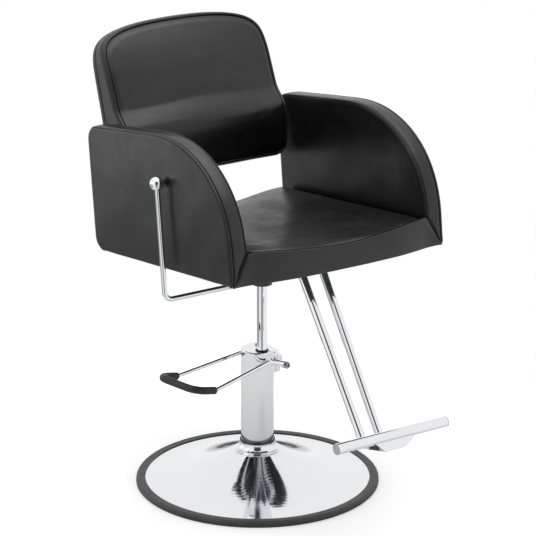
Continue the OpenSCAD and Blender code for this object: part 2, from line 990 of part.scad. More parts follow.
module piston() {
    color(steel)
        at_ram()
            translate([0, 0, piston_top - piston_h])
                difference() {
                    cylinder(h = piston_h, r = barrel_in_r - run_gap);
                    translate([0, 0, -cut])
                        cylinder(h = piston_h + 2 * cut, r = ram_spigot_r + run_gap);
                    translate([0, 0, (piston_h - seal_groove_h) / 2])
                        tube(seal_groove_h, barrel_in_r + cut, barrel_in_r - seal_groove);
                }
}

module piston_seal() {
    color(rubber)
        at_ram()
            translate([0, 0, piston_top - (piston_h + seal_groove_h) / 2 + fit_gap])
                tube(seal_groove_h - 2 * fit_gap, barrel_in_r - run_gap, barrel_in_r - seal_groove + run_gap);
}

module seat_hub() {
    color(cast)
        difference() {
            at_ram()
                translate([0, 0, hub_z])
                    difference() {
                        cylinder(h = hub_h, r = hub_r);
                        translate([0, 0, -cut])
                            cylinder(h = ram_top - hub_z + cut + run_gap, r = ram_r + run_gap);
                    }
            seat_space()
                translate([-hub_r - cut, -hub_r - hub_h, plate_low])
                    cube([2 * hub_r + 2 * cut, 2 * hub_r + 2 * hub_h, hub_h]);
        }
}

module plate_bolt_places(z) {
    for (x = [-1, 1], y = [-1, 1])
        translate([x * (plate_w / 2 - plate_inset), y * (plate_d / 2 - plate_inset), z])
            children();
}

module hex_bolt(shank, radius) {
    translate([0, 0, -hex_h])
        cylinder(h = hex_h, r = hex_r, $fn = 6);
    cylinder(h = shank, r = radius, $fn = 32);
}

module seat_plate() {
    color(steel)
        seat_space()
            difference() {
                translate([-plate_w / 2, -plate_d / 2, plate_low])
                    cube([plate_w, plate_d, plate_t]);
                plate_bolt_places(plate_low - cut)
                    cylinder(h = plate_t + 2 * cut, r = plate_bolt_r + fit_gap);
            }
}

module plate_bolts() {
    color(steel)
        seat_space()
            plate_bolt_places(plate_low)
                hex_bolt(plate_bolt_len, plate_bolt_r);
}

module recline_channel() {
    color(cast)
        seat_space()
            difference() {
                union() {
                    for (x = [-cheek_x - cheek_t, cheek_x])
                        slab_x(x, cheek_t)
                            polygon([[channel_front, plate_low], [channel_rear, plate_low],
                                [channel_rear, pin_z - barrel_out_r], [web_rear, channel_low],
                                [channel_front, channel_low]]);
                    translate([-cheek_x - cut, web_front, plate_low - channel_web])
                        cube([2 * cheek_x + 2 * cut, web_rear - web_front, channel_web]);
                }
                translate([0, pin_y, pin_z])
                    pin_x(-cheek_x - 2 * cheek_t, 2 * cheek_x + 4 * cheek_t, pin_r + run_gap);
                translate([0, lever_y, lever_z])
                    pin_x(-cheek_x - 2 * cheek_t, 2 * cheek_x + 4 * cheek_t, lever_r + run_gap);
            }
}

// Front line of the seat, bowed forward between the arms
function front_line(x) = -arm_front - front_bow * (1 - pow(min(abs(x) / inner_x, 1), bow_power));

// Plan of a board or cover under the seat, half as wide as given
function seat_plan(half, rear) = concat([[half, rear], [-half, rear], [-half, -arm_front + arm_inset]],
    [for (i = [-bow_steps : bow_steps]) let (x = inner_x * i / bow_steps) [x, front_line(x) + arm_inset]],
    [[half, -arm_front + arm_inset]]);

module seat_board() {
    color(wood)
        seat_space()
            difference() {
                translate([0, 0, cover_t])
                    linear_extrude(board_t)
                        polygon(seat_plan(arm_board_x, board_rear));
                plate_bolt_places(0)
                    cylinder(h = plate_low + plate_bolt_len + fit_gap, r = plate_bolt_r + fit_gap, $fn = 32);
                clamp_screw_places(0)
                    cylinder(h = clamp_low() + clamp_screw_len + fit_gap, r = clamp_screw_r + fit_gap, $fn = 32);
            }
}

module dust_cover() {
    color(rubber)
        seat_space()
            linear_extrude(cover_t)
                difference() {
                    polygon(seat_plan(arm_board_x - soft_gap, board_rear));
                    translate([-window_x, window_front])
                        square([2 * window_x, window_rear - window_front]);
                }
}

// Height of the border's upper edge: level in the middle, rising to the mitres
function border_top(x) = border_low_z + (mitre_z - border_low_z) * smooth(abs(x) / inner_x);

function border_section(x) = let (f = front_line(x), past = (abs(x) - inner_x) / (mitre_x - inner_x),
    top = past <= 0 ? border_top(x) : mitre_z * (1 - past), edge = min(top / 3, soft_gap * 4))
    [[x, f + band_t, 0], [x, f + edge, 0], [x, f, edge], [x, f, top - edge], [x, f + edge, top],
     [x, f + band_t, top]];

module front_border() {
    side = [for (x = [inner_x : (mitre_x - inner_x) / 4 : mitre_x - cut]) x];
    middle = [for (i = [-bow_steps + 1 : bow_steps - 1]) inner_x * i / bow_steps];
    color(leather)
        seat_space()
            ring_solid([for (x = concat([for (x = reversed(side)) -x], middle, side))
                [for (p = border_section(x)) p - [sign(x) * soft_gap * smooth(abs(x) / inner_x), 0, 0]]]);
}

function cushion_top(x, v) = let (s = abs(x) / cushion_half, a = cushion_rise_shares[0], b = cushion_rise_shares[1])
    cushion_h + cushion_rise * smooth((s - a) / (b - a)) - cushion_dip * (1 - pow(2 * v - 1, 2)) * (1 - s * s);

function cushion_section(x, drop) = let (b = front_line(x) + arm_inset, depth = cushion_rear - b,
    top = cushion_top(x, 0) - drop, mid = (top + cushion_low) / 2, r = cushion_round)
    concat([[x, b, cushion_low], [x, b, mid], [x, b, top - r], [x, b + r * 0.3, top - r * 0.3]],
        [for (i = [0 : top_steps]) let (v = i / top_steps)
            [x, b + r + (depth - 2 * r) * v, cushion_top(x, v) - drop]],
        [[x, cushion_rear - r * 0.3, top - r * 0.3], [x, cushion_rear, top - r], [x, cushion_rear, mid],
         [x, cushion_rear, cushion_low]]);

module seat_cushion() {
    color(leather)
        seat_space()
            ring_solid([for (s = mirrored_stations(cushion_stations))
                cushion_section(cushion_half * s[0], cushion_drop * s[1])]);
}

module right_side() {
    seat_space()
        children();
}

module left_side() {
    seat_space()
        mirror([1, 0, 0])
            children();
}

module arm_board() {
    color(wood)
        slab_x(arm_board_x, arm_board_t)
            polygon(arm_panel(arm_inset));
}

module left_arm_board() {
    left_side() arm_board();
}

module right_arm_board() {
    right_side() arm_board();
}

// Rings of a crowned pad from its back at x to its face, the crown going the same way
function pad_rings(outline, back, face, crown) =
    [for (s = pad_shares) [for (p = outline)
        [back + (face - back) * s[1] + crown * s[2], arm_mid_y + (p.x - arm_mid_y) * s[0],
         arm_mid_z + (p.y - arm_mid_z) * s[0]]]];

module arm_outer_pad() {
    color(leather)
        ring_solid(pad_rings(arm_panel(arm_inset), arm_board_x + arm_board_t + soft_gap, half_w, outer_crown));
}

module left_arm_outer_pad() {
    left_side() arm_outer_pad();
}

module right_arm_outer_pad() {
    right_side() arm_outer_pad();
}

module arm_inner_pad() {
    color(leather)
        ring_solid(reversed(pad_rings(arm_outline(arm_inset, inner_foot - arm_inset), arm_board_x - soft_gap, inner_x,
            -inner_crown)));
}

module left_arm_inner_pad() {
    left_side() arm_inner_pad();
}

module right_arm_inner_pad() {
    right_side() arm_inner_pad();
}

// Inner edge of the band: mitred against the front border below the cushion's corner
function band_inner(p) = p.x < 0 && p.y < mitre_z ? mitre_x + (inner_x - mitre_x) * max(p.y, 0) / mitre_z : inner_x;

module arm_band() {
    lines = [for (s = band_shares) arm_outline(band_t * s[1], 0)];
    color(leather)
        ring_solid([for (i = [0 : len(lines[0]) - 1]) let (x = band_inner(lines[0][i]))
            [for (k = [0 : len(band_shares) - 1])
                [x + (half_w - x) * band_shares[k][0], lines[k][i].x, lines[k][i].y]]]);
}

module left_arm_band() {
    left_side() arm_band();
}

module right_arm_band() {
    right_side() arm_band();
}

// Frame of the right footrest tube: its origin is the corner of the knee, turned in at the toes
module tube_space() {
    translate([tube_gap / 2, tube_knee_y, tube_z])
        rotate([0, 0, -tube_toe_in])
            children();
}

module tube_slope_space() {
    tube_space()
        rotate([tube_turn - 90, 0, 0])
            children();
}

module footrest_tube() {
    inner = tube_r - tube_wall;
    color(chrome) {
        tube_space() {
            translate([0, tube_tangent, 0])
                rotate([-90, 0, 0]) {
                    translate([0, 0, joint_gap])
                        pipe(tube_end_y - tube_knee_y - tube_tangent, tube_r, inner);
                    pipe_joint(tube_r, inner);
                }
            translate([0, tube_tangent, -tube_bend])
                rotate([90, 0, 90])
                    rotate([0, 0, 90])
                        pipe_bend(tube_bend, tube_turn, tube_r, inner);
        }
        tube_slope_space() {
            translate([0, 0, -tube_run])
                pipe(tube_run - tube_tangent - joint_gap, tube_r, inner);
            translate([0, 0, -tube_tangent])
                pipe_joint(tube_r, inner);
        }
    }
}

module left_footrest_tube() {
    left_side() footrest_tube();
}

module right_footrest_tube() {
    right_side() footrest_tube();
}

function clamp_low() = tube_z - tube_r - clamp_wall;

module clamp_screw_places(z) {
    for (x = [-1, 1], y = [clamp_screw_inset, clamp_d - clamp_screw_inset])
        translate([x * clamp_screw_x, clamp_front + y, z])
            children();
}

module tube_clamp() {
    color(cast)
        seat_space()
            difference() {
                translate([-clamp_w / 2, clamp_front, clamp_low()])
                    cube([clamp_w, clamp_d, cover_t - clamp_low()]);
                for (side = [0, 1])
                    mirror([side, 0, 0])
                        tube_space()
                            pin_y(0, tube_end_y - tube_knee_y, tube_r + run_gap);
                clamp_screw_places(clamp_low() - cut)
                    cylinder(h = 2 * clamp_screw_len, r = clamp_screw_r + fit_gap, $fn = 32);
            }
}

module clamp_screws() {
    color(steel)
        seat_space()
            clamp_screw_places(clamp_low())
                hex_bolt(clamp_screw_len, clamp_screw_r);
}

// Wedge under the bar that falls away towards the tubes' feet
module foot_block() {
    depth = block_rear - block_front;
    rear_foot_z = block_foot_z - depth * tan(block_fall);
    flank = (block_top_w - block_foot_w) / 2 / (block_top_z - block_foot_z);
    tall = block_top_z - block_foot_z + depth;
    color(chrome)
        difference() {
            intersection() {
                translate([0, block_front, block_foot_z])
                    rotate([-block_fall, 0, 0])
                        slab_y(2 * depth, 3 * depth)
                            polygon([[-block_foot_w / 2, 0], [block_foot_w / 2, 0],
                                [block_foot_w / 2 + flank * tall, tall], [-block_foot_w / 2 - flank * tall, tall]]);
                slab_x(-block_top_w / 2, block_top_w)
                    polygon([[block_front, block_foot_z - depth], [block_rear, rear_foot_z - depth],
                        [block_rear, block_rear_z], [block_knee_y, block_knee_z], [block_front, block_top_z]]);
            }
            translate([0, bar_y, bar_z])
                pin_x(-block_top_w, 2 * block_top_w, bar_r + run_gap);
            for (side = [0, 1])
                mirror([side, 0, 0])
                    seat_space()
                        tube_slope_space()
                            translate([0, 0, -tube_run - fit_gap])
                                cylinder(h = tube_run / 2, r = tube_r + run_gap);
        }
}

module foot_bar() {
    color(chrome)
        translate([0, bar_y, bar_z])
            difference() {
                pin_x(-bar_len / 2, bar_len, bar_r);
                pin_x(-bar_len / 2 - cut, bar_len + 2 * cut, bar_r - bar_wall);
            }
}

module bar_plugs() {
    color(rubber)
        translate([0, bar_y, bar_z])
            for (side = [0, 1])
                mirror([side, 0, 0]) {
                    pin_x(bar_len / 2, plug_t, bar_r);
                    pin_x(bar_len / 2 - plug_len, plug_len + plug_t / 2, bar_r - bar_wall - fit_gap);
                }
}

module gas_cylinder() {
    color(cast)
        seat_space()
            translate([gas_x, 0, gas_z])
                difference() {
                    union() {
                        pin_y(gas_front, gas_rear - gas_front, gas_r);
                        pin_y(gas_front - valve_len, valve_len + cut, valve_r);
                    }
                    pin_y(gas_front + gas_cap, gas_rear - gas_front - 2 * gas_cap, gas_r - gas_wall);
                    pin_y(gas_rear - gas_cap - cut, gas_cap + 2 * cut, gas_rod_r + run_gap);
                }
}

module gas_anchor() {
    block_x = gas_x + gas_r + anchor_wall;
    color(cast)
        seat_space()
            difference() {
                translate([-cheek_x, anchor_front, gas_z - gas_r - anchor_wall])
                    cube([cheek_x + block_x, anchor_d, 2 * gas_r + 2 * anchor_wall]);
                translate([gas_x, 0, gas_z])
                    pin_y(anchor_front - cut, anchor_d + 2 * cut, gas_r + run_gap);
            }
}

module hinge_pin() {
    color(steel)
        seat_space()
            translate([0, pin_y, pin_z]) {
                pin_x(-cheek_x - cheek_t, 2 * cheek_x + 2 * cheek_t, pin_r);
                for (x = [-cheek_x - cheek_t - pin_head_t, cheek_x + cheek_t])
                    pin_x(x, pin_head_t, pin_head_r);
            }
}

// A point of the back frame, in the seat frame
function back_point(y, z) = [back_foot_y + y * cos(back_lean) + z * sin(back_lean),
    back_foot_z - y * sin(back_lean) + z * cos(back_lean)];

module link_ears() {
    for (side = [-1, 1])
        slab_x(gas_x + side * (eye_t / 2 + ear_gap + link_ear_t / 2) - link_ear_t / 2, link_ear_t)
            union() {
                translate([pin_y, pin_z])
                    circle(barrel_out_r);
                translate([link_y, link_z])
                    circle(link_eye_r);
                polygon(strip_outline([[pin_y, pin_z], [link_y, link_z]], 2 * link_eye_r));
            }
}

module back_bar() {
    bar_mid = back_plate_t + bar_t / 2;
    color(cast)
        seat_space()
            difference() {
                union() {
                    translate([0, pin_y, pin_z])
                        pin_x(-barrel_half, 2 * barrel_half, barrel_out_r);
                    slab_x(-bar_w / 2, bar_w)
                        polygon(strip_outline([[pin_y, pin_z], [bar_rise_y, bar_knee_z], [bar_rise_y, bar_elbow_z],
                            back_point(bar_mid, bar_turn_h), back_point(bar_mid, back_plate_high)], bar_t));
                    link_ears();
                }
                translate([0, pin_y, pin_z])
                    pin_x(-cheek_x, 2 * cheek_x, pin_r + run_gap);
                translate([0, link_y, link_z])
                    pin_x(-cheek_x, 2 * cheek_x, link_pin_r + run_gap);
            }
}

module link_pin() {
    half = eye_t / 2 + ear_gap + link_ear_t + link_pin_over;
    color(steel)
        seat_space()
            translate([gas_x, link_y, link_z])
                pin_x(-half, 2 * half, link_pin_r);
}

module back_bolt_places(y) {
    for (x = [-1, 1], z = [back_plate_low + back_bolt_inset, back_plate_high - back_bolt_inset])
        translate([x * back_bolt_x, y, z])
            rotate([90, 0, 0])
                children();
}

module back_plate() {
    color(cast)
        back_space()
            difference() {
                translate([-back_plate_w / 2, 0, back_plate_low])
                    cube([back_plate_w, back_plate_t, back_plate_high - back_plate_low]);
                back_bolt_places(back_plate_t + cut)
                    cylinder(h = back_plate_t + 2 * cut, r = back_bolt_r + fit_gap);
            }
}

module back_bolts() {
    color(steel)
        back_space()
            back_bolt_places(back_plate_t)
                hex_bolt(back_bolt_len, back_bolt_r);
}

// Upper and lower edge of the back at a share of its half width
function back_top(s) = back_shoulder + (back_h - back_shoulder)
    * pow(max(0, 1 - pow(min(abs(s), 1), shoulder_width_power)), 1 / shoulder_power);

function back_low(s) = let (in = max(0, abs(s) * back_half - back_half + back_foot_r))
    back_foot_r - sqrt(max(0, pow(back_foot_r, 2) - pow(in, 2)));

// Stations across the back, closer together towards its sides
function back_share(i) = let (t = i / shoulder_steps) sign(t) * (1 - pow(1 - abs(t), 2));

module back_rear_panel() {
    across = [for (i = [-shoulder_steps : shoulder_steps]) back_share(i)];
    color(leather)
        back_space()
            difference() {
                slab_y(0, rear_panel_t)
                    polygon(concat([for (s = across) [back_half * s, back_low(s)]],
                        [for (s = reversed(across)) [back_half * s, back_top(s)]]));
                back_bolt_places(cut)
                    cylinder(h = back_bolt_len - back_plate_t + fit_gap + cut, r = back_bolt_r + fit_gap);
            }
}

// Upright section of the back pad at a share of its half width
function back_section(s) = let (low = back_low(s), high = back_top(s), back = rear_panel_t + soft_gap,
    crown = back_crown * (1 - pow(abs(s), back_power)))
    concat([for (u = [0, 0.5, 1]) [back_half * s, -back, low + (high - low) * u]],
        [for (u = reversed(back_up)) let (h = low + (high - low) * u, seam = back_t * lookup(h / back_h, back_shares))
            [back_half * s, -seam - crown * (1 - pow(2 * u - 1, 4)), h]]);

module back_cushion() {
    color(leather)
        back_space()
            ring_solid([for (s = concat([for (r = reversed(back_across)) -r],
                [for (i = [1 : len(back_across) - 1]) back_across[i]])) reversed(back_section(s))]);
}

module gas_rod() {
    color(steel)
        seat_space()
            difference() {
                union() {
                    translate([gas_x, 0, gas_z])
                        pin_y(gas_rear - gas_rod_in, link_y - gas_rear + gas_rod_in, gas_rod_r);
                    translate([gas_x, link_y, gas_z])
                        pin_x(-eye_t / 2, eye_t, eye_r);
                }
                translate([gas_x, link_y, gas_z])
                    pin_x(-eye_t, 2 * eye_t, link_pin_r + eye_slack);
            }
}

module lever_rod() {
    color(chrome)
        seat_space()
            translate([0, lever_y, 0]) {
                translate([lever_x, 0, lever_z + lever_bend])
                    cylinder(h = ball_h - ball_socket - lever_z - lever_bend, r = lever_r);
                translate([lever_x + lever_bend, 0, lever_z + lever_bend])
                    rotate([90, 0, 0])
                        rotate([0, 0, 180])
                            rotate_extrude(angle = 90, $fn = 64)
                                translate([lever_bend, 0])
                                    circle(lever_r, $fn = 48);
                translate([lever_x + lever_bend, 0, lever_z])
                    pin_x(0, lever_end - lever_x - lever_bend, lever_r);
            }
}

module lever_ball() {
    color(chrome)
        seat_space()
            translate([lever_x, lever_y, ball_h])
                difference() {
                    sphere(r = ball_r);
                    translate([0, 0, -ball_r - cut])
                        cylinder(h = ball_r + cut - ball_socket + fit_gap, r = lever_r + run_gap);
                }
}

module lever_cam() {
    color(steel)
        seat_space()
            slab_x(gas_x - cam_t / 2, cam_t)
                difference() {
                    union() {
                        translate([lever_y, lever_z])
                            circle(cam_r);
                        translate([lever_y + cam_r - cam_wall, lever_z])
                            square([cam_wall, cam_tip_z - lever_z]);
                    }
                    translate([lever_y, lever_z])
                        circle(lever_r + run_gap);
                }
}

base_disc();
base_ring();
base_weight();
base_bottom_plate();
base_collar();
collar_seal();
flange_bolts();
pump_tube();
ram_barrel();
pump_head();
filler_screw();
wiper_seal();
pedal_bracket();
bracket_screws();
plunger_guide();
pedal_rod();
pedal_grip();
pedal_shaft();
shaft_screws();
pedal_rocker();
plunger();
ram();
piston();
piston_seal();
seat_hub();
seat_plate();
plate_bolts();
recline_channel();
seat_board();
seat_cushion();
front_border();
dust_cover();
left_arm_board();
right_arm_board();
left_arm_outer_pad();
right_arm_outer_pad();
left_arm_inner_pad();
right_arm_inner_pad();
left_arm_band();
right_arm_band();
left_footrest_tube();
right_footrest_tube();
tube_clamp();
clamp_screws();
foot_block();
foot_bar();
bar_plugs();
gas_cylinder();
gas_anchor();
hinge_pin();
back_bar();
link_pin();
back_plate();
back_bolts();
back_rear_panel();
back_cushion();
gas_rod();
lever_rod();
lever_ball();
lever_cam();
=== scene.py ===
import logging
import math
from dataclasses import dataclass
from enum import Enum
from typing import Any, Callable, Iterable, Sequence

import bpy
import numpy as np
from mathutils import Matrix, Vector, noise
from mathutils.geometry import delaunay_2d_cdt
from mathutils.kdtree import KDTree


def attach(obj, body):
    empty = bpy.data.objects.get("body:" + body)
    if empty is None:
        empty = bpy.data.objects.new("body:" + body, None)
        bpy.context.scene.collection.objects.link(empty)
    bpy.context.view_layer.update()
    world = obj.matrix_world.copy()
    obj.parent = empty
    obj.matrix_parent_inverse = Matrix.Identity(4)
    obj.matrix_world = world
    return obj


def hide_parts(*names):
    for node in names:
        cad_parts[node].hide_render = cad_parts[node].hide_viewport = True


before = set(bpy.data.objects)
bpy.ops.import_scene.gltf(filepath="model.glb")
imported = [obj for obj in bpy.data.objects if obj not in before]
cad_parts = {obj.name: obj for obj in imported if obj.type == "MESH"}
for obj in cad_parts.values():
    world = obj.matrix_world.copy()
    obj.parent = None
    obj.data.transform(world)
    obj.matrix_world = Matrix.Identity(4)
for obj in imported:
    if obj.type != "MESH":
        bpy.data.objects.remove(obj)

LOG = logging.getLogger("salon_chair")
# The chair's own sizes are in millimetres, and this turns them into metres
MM = 0.001
# Length that counts as none
TINY = 1e-9
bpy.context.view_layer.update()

Pair = tuple[float, float]
Triple = tuple[float, float, float]

# The seat leans back about the top of the ram, and the back pad leans from the seat
SEAT_FRAME = Matrix.Translation((0, -20 * MM, 593 * MM)) @ Matrix.Rotation(math.radians(-6.4), 4, "X")
BACK_FRAME = SEAT_FRAME @ Matrix.Translation((0, 277 * MM, 145 * MM)) @ Matrix.Rotation(math.radians(-11), 4, "X")
MIRROR_X = Matrix.Scale(-1, 4, (1, 0, 0))


class Side(Enum):
    """The two arms, left and right as seen from the front."""

    LEFT = -1
    RIGHT = 1

    @property
    def word(self) -> str:
        """Lower-case name used in piece names."""
        return self.name.lower()


# Shared helpers


def linear(hex_colour: str) -> tuple[float, float, float, float]:
    """Turn an sRGB hex colour into linear RGBA.

    Args:
        hex_colour: Colour such as "#1a2b3c".

    Returns:
        Linear red, green, blue and an alpha of 1.
    """
    parts = [int(hex_colour[i:i + 2], 16) / 255 for i in (1, 3, 5)]
    r, g, b = (p / 12.92 if p <= 0.04045 else ((p + 0.055) / 1.055) ** 2.4 for p in parts)
    return (r, g, b, 1.0)


def add_node(tree: bpy.types.NodeTree, kind: str, settings: dict[str, Any] | None = None,
             inputs: dict[str | int, Any] | None = None,
             outputs: dict[str | int, bpy.types.NodeSocket] | None = None) -> bpy.types.Node:
    """Add a node with its settings, values and links.

    Args:
        tree: Node tree that takes the node.
        kind: Node type.
        settings: Node properties by name.
        inputs: Values or output sockets by input name or index.
        outputs: Sockets that it feeds, by output name or index.

    Returns:
        The new node.
    """
    node = tree.nodes.new(kind)
    for key, value in (settings or {}).items():
        setattr(node, key, value)
    for key, value in (inputs or {}).items():
        if isinstance(value, bpy.types.NodeSocket):
            tree.links.new(value, node.inputs[key])
        else:
            node.inputs[key].default_value = value
    for key, socket in (outputs or {}).items():
        tree.links.new(node.outputs[key], socket)
    return node


def smooth_step(t: float) -> float:
    """Ease from 0 to 1."""
    s = max(0.0, min(1.0, t))
    return s * s * (3 - 2 * s)


def arc(centre: Pair, radius: float, start: float, stop: float, steps: int) -> list[Pair]:
    """Points on a flat arc.

    Args:
        centre: Centre of the arc.
        radius: Its radius.
        start: First angle in degrees.
        stop: Last angle in degrees.
        steps: Number of chords.

    Returns:
        The points from start to stop.
    """
    angles = [math.radians(start + (stop - start) * i / steps) for i in range(steps + 1)]
    return [(centre[0] + radius * math.cos(a), centre[1] + radius * math.sin(a)) for a in angles]


def resample(points: Sequence[Sequence[float]], spacing: float, closed: bool = False) -> list[tuple[float, ...]]:
    """Space points evenly along a polyline.

    Args:
        points: Corners of the polyline.
        spacing: Wanted distance between points.
        closed: Whether the last corner joins the first.

    Returns:
        Evenly spaced points. A closed line doesn't repeat its first point.
    """
    line = np.array([*points, points[0]] if closed else points, float)
    steps = np.linalg.norm(np.diff(line, axis=0), axis=1)
    line = line[np.concatenate([[True], steps > TINY])]
    length = np.concatenate([[0.0], np.cumsum(np.linalg.norm(np.diff(line, axis=0), axis=1))])
    count = max(2, round(length[-1] / spacing))
    at = np.linspace(0, length[-1], count + 1)
    if closed:
        at = at[:-1]
    return [tuple(p) for p in np.stack([np.interp(at, length, line[:, k]) for k in range(line.shape[1])], axis=1)]


def add_object(name: str, data: bpy.types.ID) -> bpy.types.Object:
    """Put a new object into the scene.

    Args:
        name: Name of the object.
        data: Its mesh, lamp or camera.

    Returns:
        The object.
    """
    obj = bpy.data.objects.new(name, data)
    bpy.context.scene.collection.objects.link(obj)
    return obj


def settle(mesh: bpy.types.Mesh, place: Matrix) -> None:
    """Move a mesh to its place, with its faces still outwards if that mirrors it, and shade it smooth.

    Args:
        mesh: The mesh.
        place: Where it goes.
    """
    mesh.transform(place)
    if place.determinant() < 0:
        mesh.flip_normals()
    mesh.shade_smooth()


def mesh_object(name: str, points: Iterable[Sequence[float]], faces: Iterable[Sequence[int]],
                place: Matrix = Matrix()) -> bpy.types.Object:
    """Make a smooth-shaded object from points in millimetres.

    Args:
        name: Name of the piece.
        points: Points in millimetres, in the piece's own frame.
        faces: Faces as lists of point numbers.
        place: Frame of the piece in the row frame, in metres.

    Returns:
        The object, at the origin with its place in its mesh.
    """
    mesh = bpy.data.meshes.new(name)
    mesh.from_pydata([Vector(p) * MM for p in points], [], [list(f) for f in faces])
    mesh.validate()
    settle(mesh, place)
    return add_object(name, mesh)


def cap(numbers: Sequence[int]) -> list[list[int]]:
    """Close a ring by a ladder of faces between its two halves.

    Args:
        numbers: Numbers of the ring's points, in order.

    Returns:
        The faces.
    """
    faces = []
    a, b = 0, len(numbers) - 1
    while b - a > 2:
        faces.append([numbers[a], numbers[a + 1], numbers[b - 1], numbers[b]])
        a, b = a + 1, b - 1
    if b - a == 2:
        faces.append([numbers[a], numbers[a + 1], numbers[b]])
    return faces


def loft(rings: Sequence[Sequence[Triple]], closed_end: bool = True) -> tuple[list[Triple], list[list[int]]]:
    """Skin a stack of closed rings and cap its ends.

    Args:
        rings: Rings with equal numbers of points.
        closed_end: Whether the last ring gets a cap too.

    Returns:
        Points and faces.
    """
    n, m = len(rings[0]), len(rings)
    points = [p for ring in rings for p in ring]
    faces = [[j * n + i, j * n + (i + 1) % n, (j + 1) * n + (i + 1) % n, (j + 1) * n + i]
             for j in range(m - 1) for i in range(n)]
    faces += cap(range(n - 1, -1, -1))
    return points, faces + cap(range((m - 1) * n, m * n)) if closed_end else faces


def fill(ring: Sequence[Pair], spacing: float, margin: float = 0.6) -> tuple[list[Pair], list[list[int]]]:
    """Fill a clockwise outline with an even mesh.

    Args:
        ring: Points of the outline.
        spacing: Distance between the points inside it.
        margin: Share of that distance that stays free along the outline.

    Returns:
        The points inside, and faces whose numbers count the outline's points first.
    """
    line = np.array(ring, float)
    ahead = np.roll(line, -1, axis=0)
    near = KDTree(len(line))
    for i, (a, b) in enumerate(line):
        near.insert((a, b, 0), i)
    near.balance()
    inside = []
    rise = spacing * math.sqrt(3) / 2
    low, high = line.min(axis=0), line.max(axis=0)
    for row in range(1, int((high[1] - low[1]) / rise) + 1):
        b = low[1] + row * rise
        spans = (line[:, 1] > b) != (ahead[:, 1] > b)
        first, second = line[spans], ahead[spans]
        cuts = first[:, 0] + (b - first[:, 1]) / (second[:, 1] - first[:, 1]) * (second[:, 0] - first[:, 0])
        for step in range(int((high[0] - low[0]) / spacing) + 1):
            a = low[0] + (step + row % 2 / 2) * spacing
            if np.count_nonzero(cuts > a) % 2 and near.find((a, b, 0))[2] > spacing * margin:
                inside.append((a, b))
    edges = [(i, (i + 1) % len(line)) for i in range(len(line))]
    places = [Vector(p) for p in [*line.tolist(), *inside]]
    _, _, faces, given, _, _ = delaunay_2d_cdt(places, edges, [], 1, 1e-6)
    return inside, [[given[i][0] for i in reversed(face)] for face in faces]


def face_outwards(obj: bpy.types.Object) -> None:
    """Turn a closed shell's faces outwards.

    Args:
        obj: Piece that is one closed shell.
    """
    mesh = obj.data
    volume = 0.0
    for poly in mesh.polygons:
        corners = [mesh.vertices[i].co for i in poly.vertices]
        for b, c in zip(corners[1:], corners[2:]):
            volume += corners[0].dot(b.cross(c))
    if volume < 0:
        mesh.flip_normals()


def soften(obj: bpy.types.Object, levels: int = 1) -> None:
    """Give a piece a subdivision surface with equal view and render levels.

    Args:
        obj: The piece.
        levels: Number of subdivisions.
    """
    modifier = obj.modifiers.new("Smooth", "SUBSURF")
    modifier.levels = levels
    modifier.render_levels = levels


def ripple(obj: bpy.types.Object, height: float, width: float, seed: float) -> None:
    """Move a cover's points by a slow unevenness, as foam under a cover has.

    Args:
        obj: Piece to move.
        height: Greatest movement in millimetres.
        width: Distance between bumps in millimetres.
        seed: Fixed offset of the pattern.
    """
    mesh = obj.data
    normals = [v.normal.copy() for v in mesh.vertices]
    for vertex, normal in zip(mesh.vertices, normals):
        value = noise.noise(vertex.co / (width * MM) + Vector((seed, 0, 0)))
        vertex.co += normal * value * height * MM


def put_material(obj: bpy.types.Object, material: bpy.types.Material) -> None:
    """Give a piece one material."""
    obj.data.materials.clear()
    obj.data.materials.append(material)


def dress(material: bpy.types.Material, *nodes: str) -> None:
    """Give CAD nodes a better material through their own slots.

    Args:
        material: Material to assign.
        nodes: Names of the CAD nodes.
    """
    for name in nodes:
        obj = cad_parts[name]
        if not obj.material_slots:
            obj.data.materials.append(material)
        for slot in obj.material_slots:
            slot.material = material
        LOG.info("%s: %s", name, material.name)


def cover(obj: bpy.types.Object, material: bpy.types.Material, uneven: Triple) -> None:
    """Give a soft piece its slow unevenness, its smoothing and its material.

    Args:
        obj: The piece.
        material: Material of the cover.
        uneven: Height and width of the bumps in millimetres, and the pattern's fixed offset.
    """
    ripple(obj, *uneven)
    soften(obj)
    put_material(obj, material)


def finish_piece(obj: bpy.types.Object, body: str, slot: str, *replaced: str) -> None:
    """Hang a finished piece on its body, hide the CAD nodes that it stands for, and log its faces.

    Args:
        obj: The piece.
        body: CAD body that it rides on.
        slot: Material slot of the record; not used.
        replaced: CAD nodes that it stands for.
    """
    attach(obj, body)
    if replaced:
        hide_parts(*replaced)
    LOG.info("%s on %s: %d faces", obj.name, body, len(obj.data.polygons))


# Finishes


